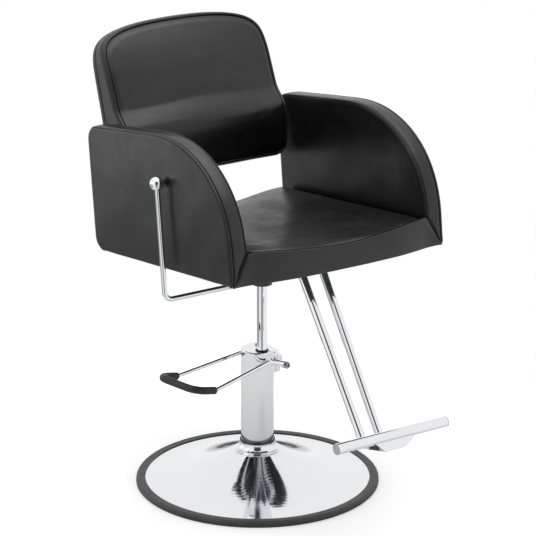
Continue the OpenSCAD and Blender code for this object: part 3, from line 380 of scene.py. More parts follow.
@dataclass(frozen=True)
class Surface:
    """What every finish shares: an empty material, and cloudy patterns on the piece's own coordinates."""

    name: str

    def start(self) -> tuple[bpy.types.NodeTree, bpy.types.Node, bpy.types.NodeSocket]:
        """Make the material's tree.

        Returns:
            The tree, its Principled shader and the Object coordinates.
        """
        material = bpy.data.materials.new(self.name)
        material.use_nodes = True
        tree = material.node_tree
        place = add_node(tree, "ShaderNodeTexCoord").outputs["Object"]
        return tree, tree.nodes["Principled BSDF"], place

    def clouds(self, tree: bpy.types.NodeTree, place: bpy.types.NodeSocket, size: float, detail: float = 3,
               span: Pair = (0.35, 0.65)) -> bpy.types.NodeSocket:
        """Draw a cloudy pattern from 0 to 1.

        Args:
            tree: Tree that takes the nodes.
            place: Coordinates.
            size: Size of the clouds in millimetres.
            detail: Octaves of the pattern.
            span: Values of the raw pattern that become 0 and 1.

        Returns:
            The pattern.
        """
        raw = add_node(tree, "ShaderNodeTexNoise", {}, {"Vector": place, "Scale": 1 / (size * MM), "Detail": detail})
        return add_node(tree, "ShaderNodeMapRange", {},
                        {"Value": raw.outputs["Fac"], "From Min": span[0], "From Max": span[1]}).outputs["Result"]


@dataclass(frozen=True)
class Leatherette(Surface):
    """Calendered black PVC leatherette over foam: near black, with a broad satin sheen from its pebble grain."""

    shade: str = "#0d0d0e"
    worn: str = "#151516"
    cloud: float = 70
    # Roughness, and the size of the patches between which it changes
    satin: Pair = (0.3, 0.36)
    patch: float = 22
    # Pebbles of the grain in millimetres, a little coarser than the real 1 mm so that they show
    grain: float = 1.8
    grain_depth: float = 0.04
    grain_show: float = 0.35
    pebble_round: float = 0.6
    # Slow waves where the cover is stretched over the foam
    stretch: float = 26
    stretch_depth: float = 0.2
    stretch_show: float = 0.5
    ior: float = 1.5

    def build(self) -> bpy.types.Material:
        """Build the material: slow waves under a fine pebble grain.

        Returns:
            The material.
        """
        tree, shader, place = self.start()
        feeds = shader.inputs
        add_node(tree, "ShaderNodeMix", {"data_type": "RGBA"},
                 {"Factor": self.clouds(tree, place, self.cloud), 6: linear(self.shade), 7: linear(self.worn)},
                 {2: feeds["Base Color"]})
        add_node(tree, "ShaderNodeMapRange", {},
                 {"Value": self.clouds(tree, place, self.patch, detail=4),
                  "To Min": self.satin[0], "To Max": self.satin[1]},
                 {"Result": feeds["Roughness"]})
        slack = add_node(tree, "ShaderNodeBump", {},
                         {"Height": self.clouds(tree, place, self.stretch, detail=2, span=(0.2, 0.8)),
                          "Distance": self.stretch_depth * MM, "Strength": self.stretch_show})
        pebbles = add_node(tree, "ShaderNodeTexVoronoi", {"feature": "SMOOTH_F1"},
                           {"Vector": place, "Scale": 1 / (self.grain * MM), "Smoothness": self.pebble_round})
        add_node(tree, "ShaderNodeBump", {},
                 {"Height": pebbles.outputs["Distance"], "Distance": self.grain_depth * MM,
                  "Strength": self.grain_show, "Normal": slack.outputs["Normal"]},
                 {"Normal": feeds["Normal"]})
        feeds["IOR"].default_value = self.ior
        return bpy.data.materials[self.name]


@dataclass(frozen=True)
class Chrome(Surface):
    """Bright chrome plate on buffed steel: a mirror with faint polishing haze."""

    shade: str = "#e7e9ec"
    haze: Pair = (0.03, 0.07)
    wave_depth: float = 0.012
    # Sizes of the haze's patches and of the buffing's waves in millimetres
    patch: float = 14
    wave: float = 30
    wave_show: float = 0.5

    def build(self) -> bpy.types.Material:
        """Build the material: a mirror whose haze changes slowly over a faintly wavy plate.

        Returns:
            The material.
        """
        tree, shader, place = self.start()
        feeds = shader.inputs
        feeds["Base Color"].default_value = linear(self.shade)
        feeds["Metallic"].default_value = 1
        add_node(tree, "ShaderNodeMapRange", {},
                 {"Value": self.clouds(tree, place, self.patch, detail=5),
                  "To Min": self.haze[0], "To Max": self.haze[1]},
                 {"Result": feeds["Roughness"]})
        add_node(tree, "ShaderNodeBump", {},
                 {"Height": self.clouds(tree, place, self.wave, detail=1, span=(0.2, 0.8)),
                  "Distance": self.wave_depth * MM, "Strength": self.wave_show},
                 {"Normal": feeds["Normal"]})
        return bpy.data.materials[self.name]


@dataclass(frozen=True)
class TurnedSteel(Surface):
    """Zinc-plated or turned steel: pale grey metal with fine tool marks."""

    shade: str = "#a9abad"
    dark: str = "#8d9093"
    polish: Pair = (0.22, 0.36)
    # Size of the tool marks in millimetres, their depth, and the size of the dull patches
    mark: float = 0.9
    mark_depth: float = 0.02
    mark_show: float = 0.4
    patch: float = 5.4

    def build(self) -> bpy.types.Material:
        """Build the material: fine tool marks, with patches of darker and smoother metal.

        Returns:
            The material.
        """
        tree, shader, place = self.start()
        feeds = shader.inputs
        feeds["Metallic"].default_value = 1
        patches = self.clouds(tree, place, self.patch, detail=6)
        add_node(tree, "ShaderNodeMix", {"data_type": "RGBA"},
                 {"Factor": patches, 6: linear(self.dark), 7: linear(self.shade)}, {2: feeds["Base Color"]})
        add_node(tree, "ShaderNodeMapRange", {},
                 {"Value": patches, "To Min": self.polish[0], "To Max": self.polish[1]},
                 {"Result": feeds["Roughness"]})
        add_node(tree, "ShaderNodeBump", {},
                 {"Height": self.clouds(tree, place, self.mark, detail=2),
                  "Distance": self.mark_depth * MM, "Strength": self.mark_show},
                 {"Normal": feeds["Normal"]})
        return bpy.data.materials[self.name]


@dataclass(frozen=True)
class Coating(Surface):
    """A dull non-metal skin, such as moulded rubber, powder coat or casting paint, told apart by its texture."""

    shade: str = "#1a1a1b"
    pale: str = "#222223"
    dull: Pair = (0.5, 0.6)
    grit: float = 1.2
    grit_depth: float = 0.05
    sheen: float = 0.0
    gloss: float = 0.5
    # Sizes of the colour's clouds and of the dull patches in millimetres
    cloud: float = 28
    patch: float = 9
    grit_show: float = 0.5

    def build(self) -> bpy.types.Material:
        """Build the material: slow clouds of colour and gloss under a fine grit.

        Returns:
            The material.
        """
        tree, shader, place = self.start()
        feeds = shader.inputs
        add_node(tree, "ShaderNodeMix", {"data_type": "RGBA"},
                 {"Factor": self.clouds(tree, place, self.cloud, detail=4),
                  6: linear(self.shade), 7: linear(self.pale)},
                 {2: feeds["Base Color"]})
        add_node(tree, "ShaderNodeMapRange", {},
                 {"Value": self.clouds(tree, place, self.patch, detail=4),
                  "To Min": self.dull[0], "To Max": self.dull[1]},
                 {"Result": feeds["Roughness"]})
        add_node(tree, "ShaderNodeBump", {},
                 {"Height": self.clouds(tree, place, self.grit, detail=2),
                  "Distance": self.grit_depth * MM, "Strength": self.grit_show},
                 {"Normal": feeds["Normal"]})
        feeds["Sheen Weight"].default_value = self.sheen
        feeds["Specular IOR Level"].default_value = self.gloss
        return bpy.data.materials[self.name]


@dataclass(frozen=True)
class Plywood(Surface):
    """Birch plywood under a black stain: a dull soft black with long stretched grain just showing."""

    shade: str = "#1c1a19"
    grain: str = "#110f0e"
    dull: Pair = (0.55, 0.7)
    # Width of the grain's lines in millimetres, how little they change along the board, and their depth
    line: float = 5
    along: float = 0.08
    line_depth: float = 0.08
    line_show: float = 0.4

    def build(self) -> bpy.types.Material:
        """Build the material, its grain running along the seat's depth.

        Returns:
            The material.
        """
        tree, shader, place = self.start()
        feeds = shader.inputs
        drawn = add_node(tree, "ShaderNodeMapping", {}, {"Vector": place, "Scale": (1, self.along, 1)})
        lines = self.clouds(tree, drawn.outputs["Vector"], self.line, detail=5, span=(0.3, 0.7))
        add_node(tree, "ShaderNodeMix", {"data_type": "RGBA"},
                 {"Factor": lines, 6: linear(self.shade), 7: linear(self.grain)}, {2: feeds["Base Color"]})
        add_node(tree, "ShaderNodeMapRange", {},
                 {"Value": lines, "To Min": self.dull[0], "To Max": self.dull[1]}, {"Result": feeds["Roughness"]})
        add_node(tree, "ShaderNodeBump", {},
                 {"Height": lines, "Distance": self.line_depth * MM, "Strength": self.line_show},
                 {"Normal": feeds["Normal"]})
        return bpy.data.materials[self.name]


class Finishes:
    """Every material of the chair, built once."""

    def __init__(self) -> None:
        """Build the materials."""
        self.leather = Leatherette("black_pvc_leatherette").build()
        self.chrome = Chrome("bright_chrome_plate").build()
        # Chrome on a spun steel disc: its haze is a little stronger, so it mirrors softly
        self.spun = Chrome("spun_chrome_plate", haze=(0.06, 0.1), wave_depth=0.006).build()
        self.steel = TurnedSteel("turned_zinc_steel").build()
        # Extruded bumper rubber: a charcoal that is paler than the leatherette, with a satin skin
        self.ring = Coating("extruded_black_rubber", "#313132", "#3a3a3b", (0.42, 0.52), grit=1.5,
                            grit_depth=0.04).build()
        # Moulded rubber of the pedal's grip: a dull black with a slight tooth
        self.grip = Coating("moulded_grip_rubber", "#161617", "#1f1f20", (0.42, 0.55), grit=1.4).build()
        # Nitrile rubber of the seals: the deepest black, nearly smooth
        self.seal = Coating("nitrile_seal_rubber", "#0c0c0d", "#121213", (0.45, 0.55), grit=1.0,
                            grit_depth=0.02).build()
        # Powder coat on folded steel: black with a fine orange-peel texture
        self.powder = Coating("black_powder_coat", "#0f0f10", "#161617", (0.38, 0.48), grit=1.1,
                              grit_depth=0.06).build()
        # Painted cast iron of the base's weight: matt black over a rough sand-cast skin
        self.iron = Coating("painted_cast_iron", "#161617", "#232325", (0.5, 0.68), grit=2.2, grit_depth=0.25).build()
        # Moulded polyethylene of the foot bar's plugs: pale grey with a waxy shine
        self.plastic = Coating("pale_grey_polyethylene", "#b9babb", "#c6c7c8", (0.32, 0.42), grit=2.0,
                               grit_depth=0.02).build()
        # Bonded felt under the seat: matt black with a soft fibrous edge light
        self.felt = Coating("black_bonded_felt", "#111112", "#1b1b1c", (0.85, 0.95), grit=0.9, grit_depth=0.2,
                            sheen=0.3).build()
        # Spun polyester thread: blacker and duller than the leatherette, so that the seams read as dark lines
        self.thread = Coating("spun_polyester_thread", "#050505", "#0a0a0a", (0.6, 0.7), grit=0.8, grit_depth=0.03,
                              gloss=0.08).build()
        self.plywood = Plywood("black_stained_plywood").build()


# Upholstery


@dataclass
class Pad:
    """A foam pad in its own frame, with how firmly its points are held, its swell and the run's voxels."""

    piece: bpy.types.Object
    hold: Callable[[Vector], float]
    swell: float
    voxel: float


@dataclass(frozen=True)
class FoamRun:
    """One Cloth run that swells all the pads under their covers."""

    frames: int = 20
    pressure: float = 4
    # Points of the copy that move a point of the pad, and the share of the swell that none may pass
    near: int = 6
    over: float = 1.25
    # Percentile of the movements that counts as the reach, and the least reach in metres
    rank: float = 98
    least: float = 1e-6

    def sample(self, pad: Pad) -> bpy.types.Object:
        """Even quad copy of a pad, with its held points in a group.

        Args:
            pad: Pad to copy.

        Returns:
            The copy that the run moves.
        """
        copy = pad.piece.copy()
        bpy.context.scene.collection.objects.link(copy)
        remesh = copy.modifiers.new("Voxels", "REMESH")
        remesh.mode = "VOXEL"
        remesh.voxel_size = pad.voxel * MM
        bpy.context.view_layer.update()
        evaluated = copy.evaluated_get(bpy.context.evaluated_depsgraph_get())
        copy.data = bpy.data.meshes.new_from_object(evaluated)
        copy.modifiers.clear()
        group = copy.vertex_groups.new(name="Held")
        for vertex in copy.data.vertices:
            group.add([vertex.index], max(0.0, min(1.0, pad.hold(vertex.co / MM))), "REPLACE")
        cloth = copy.modifiers.new("Cover", "CLOTH")
        cloth.settings.use_pressure = True
        cloth.settings.uniform_pressure_force = self.pressure
        cloth.settings.vertex_group_mass = "Held"
        cloth.settings.effector_weights.gravity = 0
        cloth.point_cache.frame_start = 1
        cloth.point_cache.frame_end = self.frames
        return copy

    def run(self, pads: Sequence[Pad]) -> None:
        """Swell the pads.

        Args:
            pads: Pads to swell, all in one run.
        """
        scene = bpy.context.scene
        copies = [self.sample(pad) for pad in pads]
        rest = [np.array([v.co[:] for v in copy.data.vertices]) for copy in copies]
        for number in range(1, self.frames + 1):
            scene.frame_set(number)
        graph = bpy.context.evaluated_depsgraph_get()
        for pad, copy, still in zip(pads, copies, rest):
            mesh = copy.evaluated_get(graph).to_mesh()
            moved = np.array([v.co[:] for v in mesh.vertices]) - still
            copy.evaluated_get(graph).to_mesh_clear()
            self.transfer(pad, still, moved)
            discard(copy)
        scene.frame_set(1)

    def transfer(self, pad: Pad, still: np.ndarray, moved: np.ndarray) -> None:
        """Carry the run's movement over to the pad's own mesh, to the pad's swell.

        Args:
            pad: Pad that takes the movement.
            still: Points of the copy before the run.
            moved: How far each of them moved.
        """
        far = np.linalg.norm(moved, axis=1)
        reach = np.percentile(far, self.rank)
        if reach < self.least:
            LOG.warning("%s did not swell", pad.piece.name)
            return
        scale = pad.swell * MM / reach
        limit = pad.swell * MM * self.over
        moved = moved * scale * np.minimum(1, limit / np.maximum(far * scale, TINY))[:, None]
        tree = KDTree(len(still))
        for i, point in enumerate(still):
            tree.insert(point, i)
        tree.balance()
        for vertex in pad.piece.data.vertices:
            found = tree.find_n(vertex.co, self.near)
            weights = [1 / (d * d + (MM ** 2)) for _, _, d in found]
            total = sum(weights)
            vertex.co += Vector(sum(moved[i] * w for (_, i, _), w in zip(found, weights)) / total)
        LOG.info("%s swelled: raw reach %.1f mm, %d sample points", pad.piece.name, reach / MM, len(still))


def place_copy(piece: bpy.types.Object, name: str, place: Matrix) -> bpy.types.Object:
    """Copy a finished pad into the row frame.

    Args:
        piece: Pad in its own frame.
        name: Name of the copy.
        place: Where it goes.

    Returns:
        The copy, with its place in its mesh.
    """
    mesh = piece.data.copy()
    mesh.name = name
    settle(mesh, place)
    return add_object(name, mesh)


def discard(piece: bpy.types.Object) -> None:
    """Delete a working object and its mesh.

    Args:
        piece: The object.
    """
    mesh = piece.data
    bpy.data.objects.remove(piece)
    bpy.data.meshes.remove(mesh)


def inwards(line: Sequence[Pair], closed: bool) -> np.ndarray:
    """Unit directions pointing into an outline that runs clockwise.

    Args:
        line: Points of the outline.
        closed: Whether its ends join.

    Returns:
        One direction for each point.
    """
    points = np.array(line, float)
    if closed:
        ahead, behind = np.roll(points, -1, axis=0), np.roll(points, 1, axis=0)
    else:
        ahead = np.vstack([points[1:], points[-1:]])
        behind = np.vstack([points[:1], points[:-1]])
    run = ahead - behind
    run /= np.linalg.norm(run, axis=1)[:, None]
    return np.stack([run[:, 1], -run[:, 0]], axis=1)


def inset(line: Sequence[Pair], g: float | np.ndarray, closed: bool) -> np.ndarray:
    """Draw a clockwise outline in by g millimetres."""
    return np.array(line, float) + inwards(line, closed) * np.reshape(g, (-1, 1))


@dataclass(frozen=True)
class Stitching:
    """Sewn lines of spun thread: short plump stitches along a path, made by one Geometry Nodes tree."""

    length: float = 4.8
    pitch: float = 5.2
    radius: float = 0.75
    # Faces round and along each stitch
    sides: int = 6
    bands: int = 4

    def tree(self, thread: bpy.types.Material) -> bpy.types.NodeTree:
        """Build the tree with its named inputs.

        Args:
            thread: Material of the stitches.

        Returns:
            The tree.
        """
        tree = bpy.data.node_groups.new("Stitches", "GeometryNodeTree")
        face = tree.interface
        face.new_socket("Geometry", in_out="INPUT", socket_type="NodeSocketGeometry")
        for name in ("Stitch Length", "Stitch Pitch", "Thread Radius"):
            face.new_socket(name, in_out="INPUT", socket_type="NodeSocketFloat")
        face.new_socket("Geometry", in_out="OUTPUT", socket_type="NodeSocketGeometry")
        given = add_node(tree, "NodeGroupInput").outputs
        curve = add_node(tree, "GeometryNodeMeshToCurve", {}, {"Mesh": given["Geometry"]})
        dots = add_node(tree, "GeometryNodeCurveToPoints", {"mode": "LENGTH"},
                        {"Curve": curve.outputs["Curve"], "Length": given["Stitch Pitch"]})
        bead = add_node(tree, "GeometryNodeMeshUVSphere", {},
                        {"Segments": self.sides, "Rings": self.bands, "Radius": 1.0})
        half = add_node(tree, "ShaderNodeMath", {"operation": "MULTIPLY"}, {0: given["Stitch Length"], 1: 0.5})
        size = add_node(tree, "ShaderNodeCombineXYZ", {},
                        {"X": given["Thread Radius"], "Y": given["Thread Radius"], "Z": half.outputs[0]})
        stitch = add_node(tree, "GeometryNodeTransform", {},
                          {"Geometry": bead.outputs["Mesh"], "Scale": size.outputs["Vector"]})
        sewn = add_node(tree, "GeometryNodeInstanceOnPoints", {},
                        {"Points": dots.outputs["Points"], "Instance": stitch.outputs["Geometry"],
                         "Rotation": dots.outputs["Rotation"]})
        real = add_node(tree, "GeometryNodeRealizeInstances", {}, {"Geometry": sewn.outputs["Instances"]})
        last = add_node(tree, "GeometryNodeSetMaterial", {}, {"Geometry": real.outputs["Geometry"], "Material": thread})
        add_node(tree, "NodeGroupOutput", {}, {"Geometry": last.outputs["Geometry"]})
        return tree

    def sew(self, name: str, lines: Sequence[Sequence[Vector]], thread: bpy.types.Material) -> bpy.types.Object:
        """Sew stitches along lines in the row frame.

        Args:
            name: Name of the piece.
            lines: Lines in metres.
            thread: Material of the thread.

        Returns:
            The stitches as a plain mesh.
        """
        points: list[Vector] = []
        edges: list[tuple[int, int]] = []
        for line in lines:
            first = len(points)
            points += [Vector(p) for p in line]
            edges += [(i, i + 1) for i in range(first, len(points) - 1)]
        path = bpy.data.meshes.new(name + "_path")
        path.from_pydata(points, edges, [])
        holder = add_object(name + "_path", path)
        modifier = holder.modifiers.new("Stitches", "NODES")
        modifier.node_group = bpy.data.node_groups.get("Stitches") or self.tree(thread)
        sizes = {"Stitch Length": self.length, "Stitch Pitch": self.pitch, "Thread Radius": self.radius}
        for item in modifier.node_group.interface.items_tree:
            if item.in_out == "INPUT" and item.name in sizes:
                modifier[item.identifier] = sizes[item.name] * MM
        bpy.context.view_layer.update()
        evaluated = holder.evaluated_get(bpy.context.evaluated_depsgraph_get())
        mesh = bpy.data.meshes.new_from_object(evaluated)
        discard(holder)
        mesh.name = name
        mesh.shade_smooth()
        return add_object(name, mesh)


@dataclass(frozen=True)
class ArmShape:
    """Side outline of an arm in the seat's frame: y to the rear, z up, in millimetres."""

    front: float = 318
    rear: float = 271
    height: float = 310
    # Front curve: where it leaves the level and the upright, and how full it is
    bend_y: float = 20
    bend_z: float = 62
    power: float = 2.25
    # Fall of the top towards the rear, and radii of the corners
    slope: float = 0.04
    top_r: float = 38
    foot_r: float = 35
    toe_r: float = 12
    # Steps of the front curve, the toe, the other corners and the top
    steps: int = 90
    toe_steps: int = 8
    corner_steps: int = 16
    flat_steps: int = 30
    # Width over which the top line turns from level to its fall
    ease: float = 22

    def line(self, foot: float) -> list[Pair]:
        """Open outline from the toe's underside, up the front and over to the heel's underside.

        Args:
            foot: Height of the lower corners' feet.

        Returns:
            Points of the outline, clockwise.
        """
        turn = [math.pi / 2 * i / self.steps for i in range(self.steps + 1)]
        share = 2 / self.power
        bend = [(-self.bend_y - (self.front - self.bend_y) * max(0.0, math.cos(a)) ** share,
                 self.bend_z + (self.height - self.bend_z) * math.sin(a) ** share) for a in turn]
        last = self.rear - self.top_r
        flat = [(-self.bend_y + (last + self.bend_y) * i / self.flat_steps, self.height)
                for i in range(1, self.flat_steps)]
        drop = self.slope * (self.rear + self.bend_y)
        fall = drop / (last + self.bend_y)
        over = [(y, z - fall * self.ease * math.log1p(math.exp((y + self.bend_y) / self.ease)))
                for y, z in [*bend, *flat]]
        lean = math.degrees(math.atan(fall))
        return [*arc((-self.front + self.toe_r, foot + self.toe_r), self.toe_r, 270, 180, self.toe_steps), *over,
                *arc((last, self.height - self.top_r - drop), self.top_r, 90 - lean, 0, self.corner_steps),
                *arc((self.rear - self.foot_r, foot + self.foot_r), self.foot_r, 0, -90, self.corner_steps)]


@dataclass
class Arms:
    """The two padded arms: an outer and an inner panel each, joined over the edge by a sewn band."""

    finishes: Finishes
    sewing: Stitching
    shape: ArmShape = ArmShape()
    # Seams of the inner and the outer face from the chair's middle, and the mitre with the front border
    inner_x: float = 242
    outer_x: float = 288
    mitre_x: float = 285
    mitre_z: float = 72
    # Spacing of the outline's points, foot of the inner panel, and the panels' swell
    spacing: float = 6
    inner_foot: float = 18
    outer_swell: float = 4.5
    inner_swell: float = 6.5
    voxel: float = 5.5
    # Depth past which a panel is held, then where the hold beside the seam begins to ease and over what distance
    held_depth: float = 4
    held_seam: Pair = (5, 16)
    # Unevenness: heights for the panels and the band, width, and the pattern's offset
    outer_wave: float = 0.9
    inner_wave: float = 1.1
    band_wave: float = 0.25
    wave: float = 75
    seed: float = 3.1
    # Rim of the outer panel: distance in from the outline, distance back from the arm's outer face
    outer_rim: tuple[Pair, ...] = ((6.2, 13), (4.6, 9), (3.4, 4.6), (2.9, 2.7), (3.2, 1.3), (4.4, 0.3), (6.5, -0.3),
                                   (9.5, -0.7))
    # Rim of the inner panel, the same way, back from the arm's inner face
    inner_rim: tuple[Pair, ...] = ((6.2, 13), (4.8, 8.6), (3.6, 4.4), (3.3, 2.5), (3.7, 1.0), (4.9, 0.1), (7, -0.6),
                                   (10, -1.1))
    # Cross-section of the band: distance from its outer edge and depth below the outline
    outer_edge: tuple[Pair, ...] = ((0.9, 5.0), (1.3, 2.9), (2.2, 1.3), (3.7, 0.5), (5.4, 0.5), (6.7, 0.9), (7.3, 3.2),
                                    (8.4, 3.2), (9.0, 0.9), (11, 0.2), (15, -0.1))
    # Distance from its inner edge and depth, on the way out
    inner_edge: tuple[Pair, ...] = ((12, -0.1), (8, 0.1), (6.2, 0.7), (5.7, 2.9), (4.7, 2.9), (4.2, 0.7), (3.3, 0.5),
                                    (2.1, 1.1), (1.3, 2.9), (0.9, 5.0))
    # Distance from the band's edge and depth of the thread in the joints
    joint_at: Pair = (0.9, 3.7)
    # Distances of the outer and the inner groove's thread from the band's edges, and its depth
    groove_at: Pair = (7.85, 5.2)
    groove_depth: float = 2.1
    # Height that the threads begin at, and how far the band may narrow before the inner ones end
    thread_low: float = 10
    thread_slack: float = 1
    # Middle of the band's section: what the grooves need beside them, its crown and its hidden lower corners
    groove_room: Pair = (1.5, 0.5)
    band_crown: float = 0.7
    band_foot: Pair = (1.2, 5.2)
    # Number of the rim's ring that lies in the seam
    seam_ring: int = 3
    mesh_size: float = 7

    def panel(self, name: str, line: Sequence[Pair], rim: Sequence[Pair], face: float, out: float) -> Pad:
        """Build one panel as a closed shell of rings that follow its outline.

        Args:
            name: Name of the piece.
            line: Closed clockwise outline.
            rim: Its rim.
            face: Distance of its face from the chair's middle.
            out: 1 where the face looks away from the middle, -1 where it looks towards it.

        Returns:
            The panel as a pad.
        """
        rings = []
        for g, back in rim:
            rings.append([(face - out * back, y, z) for y, z in inset(line, g, True)])
        points, faces = loft(rings, closed_end=False)
        first = len(points) - len(line)
        inside, middle = fill([(y, z) for _, y, z in rings[-1]], self.mesh_size)
        points += [(rings[-1][0][0], y, z) for y, z in inside]
        piece = mesh_object(name, points, faces + [[first + i for i in corners] for corners in middle])
        face_outwards(piece)
        seam = KDTree(len(line))
        for i, (y, z) in enumerate(inset(line, rim[self.seam_ring][0], True)):
            seam.insert((face, y, z), i)
        seam.balance()

        def hold(p: Vector) -> float:
            """Tell how firmly a point of the panel is held.

            Args:
                p: The point in millimetres.

            Returns:
                0 where it is free, to 1 where it stays.
            """
            behind = (face - p.x) * out
            if behind > self.held_depth:
                return 1.0
            return 1 - smooth_step((seam.find((face, p.y, p.z))[2] - self.held_seam[0]) / self.held_seam[1])

        return Pad(piece, hold, self.outer_swell if out > 0 else self.inner_swell, self.voxel)

    def pads(self) -> list[Pad]:
        """Build the outer and the inner panel of the right arm, not yet swelled.

        Returns:
            The two pads.
        """
        outer = resample(self.shape.line(0), self.spacing, True)
        inner = resample(self.shape.line(self.inner_foot), self.spacing, True)
        return [self.panel("outer_panel", outer, self.outer_rim, self.outer_x, 1),
                self.panel("inner_panel", inner, self.inner_rim, self.inner_x, -1)]

    def inner_at(self, y: float, z: float) -> float:
        """Place the band's inner edge, so that it narrows along the mitre with the front border.

        Args:
            y: Place along the arm.
            z: Height.

        Returns:
            Distance from the chair's middle.
        """
        if y < 0 and z < self.mitre_z:
            return self.mitre_x + (self.inner_x - self.mitre_x) * max(z, 0) / self.mitre_z
        return self.inner_x

    def section(self, inner: float) -> list[Pair]:
        """Cross-section of the band where its inner edge is at a given place.

        Args:
            inner: Place of the inner edge.

        Returns:
            Distance from the chair's middle and depth below the outline of each point.
        """
        width = self.outer_x - inner
        outer_scale = min(1.0, width / (self.outer_edge[-1][0] + self.groove_room[0]))
        room = width - self.outer_edge[-1][0] * outer_scale
        inner_scale = min(1.0, room / (self.inner_edge[0][0] + self.groove_room[1]))
        out = [(self.outer_x - d * outer_scale, g) for d, g in self.outer_edge]
        back = [(inner + d * inner_scale, g) for d, g in self.inner_edge]
        middle = [((out[-1][0] + back[0][0]) / 2, -self.band_crown * inner_scale)]
        side, deep = self.band_foot
        return [*out, *middle, *back, (inner + side * inner_scale, deep), (self.outer_x - side * outer_scale, deep)]

    def band(self) -> bpy.types.Object:
        """Build the right arm's band.

        Returns:
            The band in its own frame.
        """
        line = resample(self.shape.line(0), self.spacing)
        into = inwards(line, False)
        rings = []
        for (y, z), (v, w) in zip(line, into):
            rings.append([(x, y + v * g, z + w * g) for x, g in self.section(self.inner_at(y, z))])
        piece = mesh_object("band", *loft(rings))
        face_outwards(piece)
        return piece

    def seam_line(self, place: Matrix, inner: bool, joint: bool) -> list[Vector]:
        """Path of the thread in the band's outer or inner groove, or in the joint with the panel beside it.

        Args:
            place: Where the arm goes.
            inner: Whether it runs along the band's inner edge.
            joint: Whether it lies in the joint.

        Returns:
            Points of the path in metres.
        """
        line = resample(self.shape.line(0), self.spacing)
        into = inwards(line, False)
        path = []
        for (y, z), (v, w) in zip(line, into):
            edge = self.inner_at(y, z)
            if z < self.thread_low or (inner and edge > self.inner_x + self.thread_slack):
                continue
            away, depth = self.joint_at if joint else (self.groove_at[1 if inner else 0], self.groove_depth)
            x = edge + away if inner else self.outer_x - away
            path.append(place @ Vector((x * MM, (y + v * depth) * MM, (z + w * depth) * MM)))
        return path

    def build(self, outer: bpy.types.Object, inner: bpy.types.Object) -> None:
        """Put both arms in place from the swelled panels of the right one.

        Args:
            outer: Outer panel.
            inner: Inner panel.
        """
        band = self.band()
        for side in Side:
            place = SEAT_FRAME @ (MIRROR_X if side is Side.LEFT else Matrix())
            for source, part, node, unevenness in (
                    (outer, "outer_panel", f"{side.word}_arm_outer_pad", self.outer_wave),
                    (inner, "inner_panel", f"{side.word}_arm_inner_pad", self.inner_wave),
                    (band, "band_cover", f"{side.word}_arm_band", self.band_wave)):
                piece = place_copy(source, f"{side.word}_{part}", place)
                cover(piece, self.finishes.leather, (unevenness, self.wave, self.seed * side.value + len(part)))
                finish_piece(piece, "seat", "leatherette" if source is band else "foam_leatherette", node)
            lines = [self.seam_line(place, inside, joint) for inside in (False, True) for joint in (False, True)]
            thread = self.sewing.sew(f"{side.word}_arm_stitches", lines, self.finishes.thread)
            finish_piece(thread, "seat", "leatherette")
        for source in (outer, inner, band):
            discard(source)


@dataclass(frozen=True)
class Fold:
    """A shallow fold of slack leatherette that starts at a seam and fades out, with a low ridge on each side.

    Its sizes are in millimetres: place of its start, how far it runs inwards and forward, and its depth.
    """

    start_y: float
    run_x: float
    run_y: float
    depth: float
    start_x: float = 222
    heights: Pair = (74, 66)
    width: float = 7
    # Ridge: height as a share of the depth, place in widths from the fold, and narrowness
    ridge: float = 0.55
    ridge_at: float = 1.5
    ridge_power: float = 2
    # Share of the length at each end, and widths at each side, past which the cover lies still
    ends: float = 0.3
    reach: float = 3

    def press(self, obj: bpy.types.Object, side: Side) -> None:
        """Press the fold into a cover.

        Args:
            obj: Piece in its own frame.
            side: Side of the chair.
        """
        start = Vector((side.value * self.start_x, self.start_y, self.heights[0]))
        end = Vector((side.value * (self.start_x - self.run_x), self.start_y - self.run_y, self.heights[1]))
        run = end - start
        normals = [v.normal.copy() for v in obj.data.vertices]
        for vertex, normal in zip(obj.data.vertices, normals):
            point = vertex.co / MM
            share = (point - start).dot(run) / run.length_squared
            if not -self.ends < share < 1 + self.ends:
                continue
            away = (point - (start + run * max(0.0, min(1.0, share)))).length / self.width
            if away > self.reach:
                continue
            ridge = self.ridge * math.exp(-(away - self.ridge_at) ** 2 * self.ridge_power)
            push = -math.exp(-away ** 2) + ridge
            vertex.co += normal * push * (1 - smooth_step(share)) * self.depth * MM


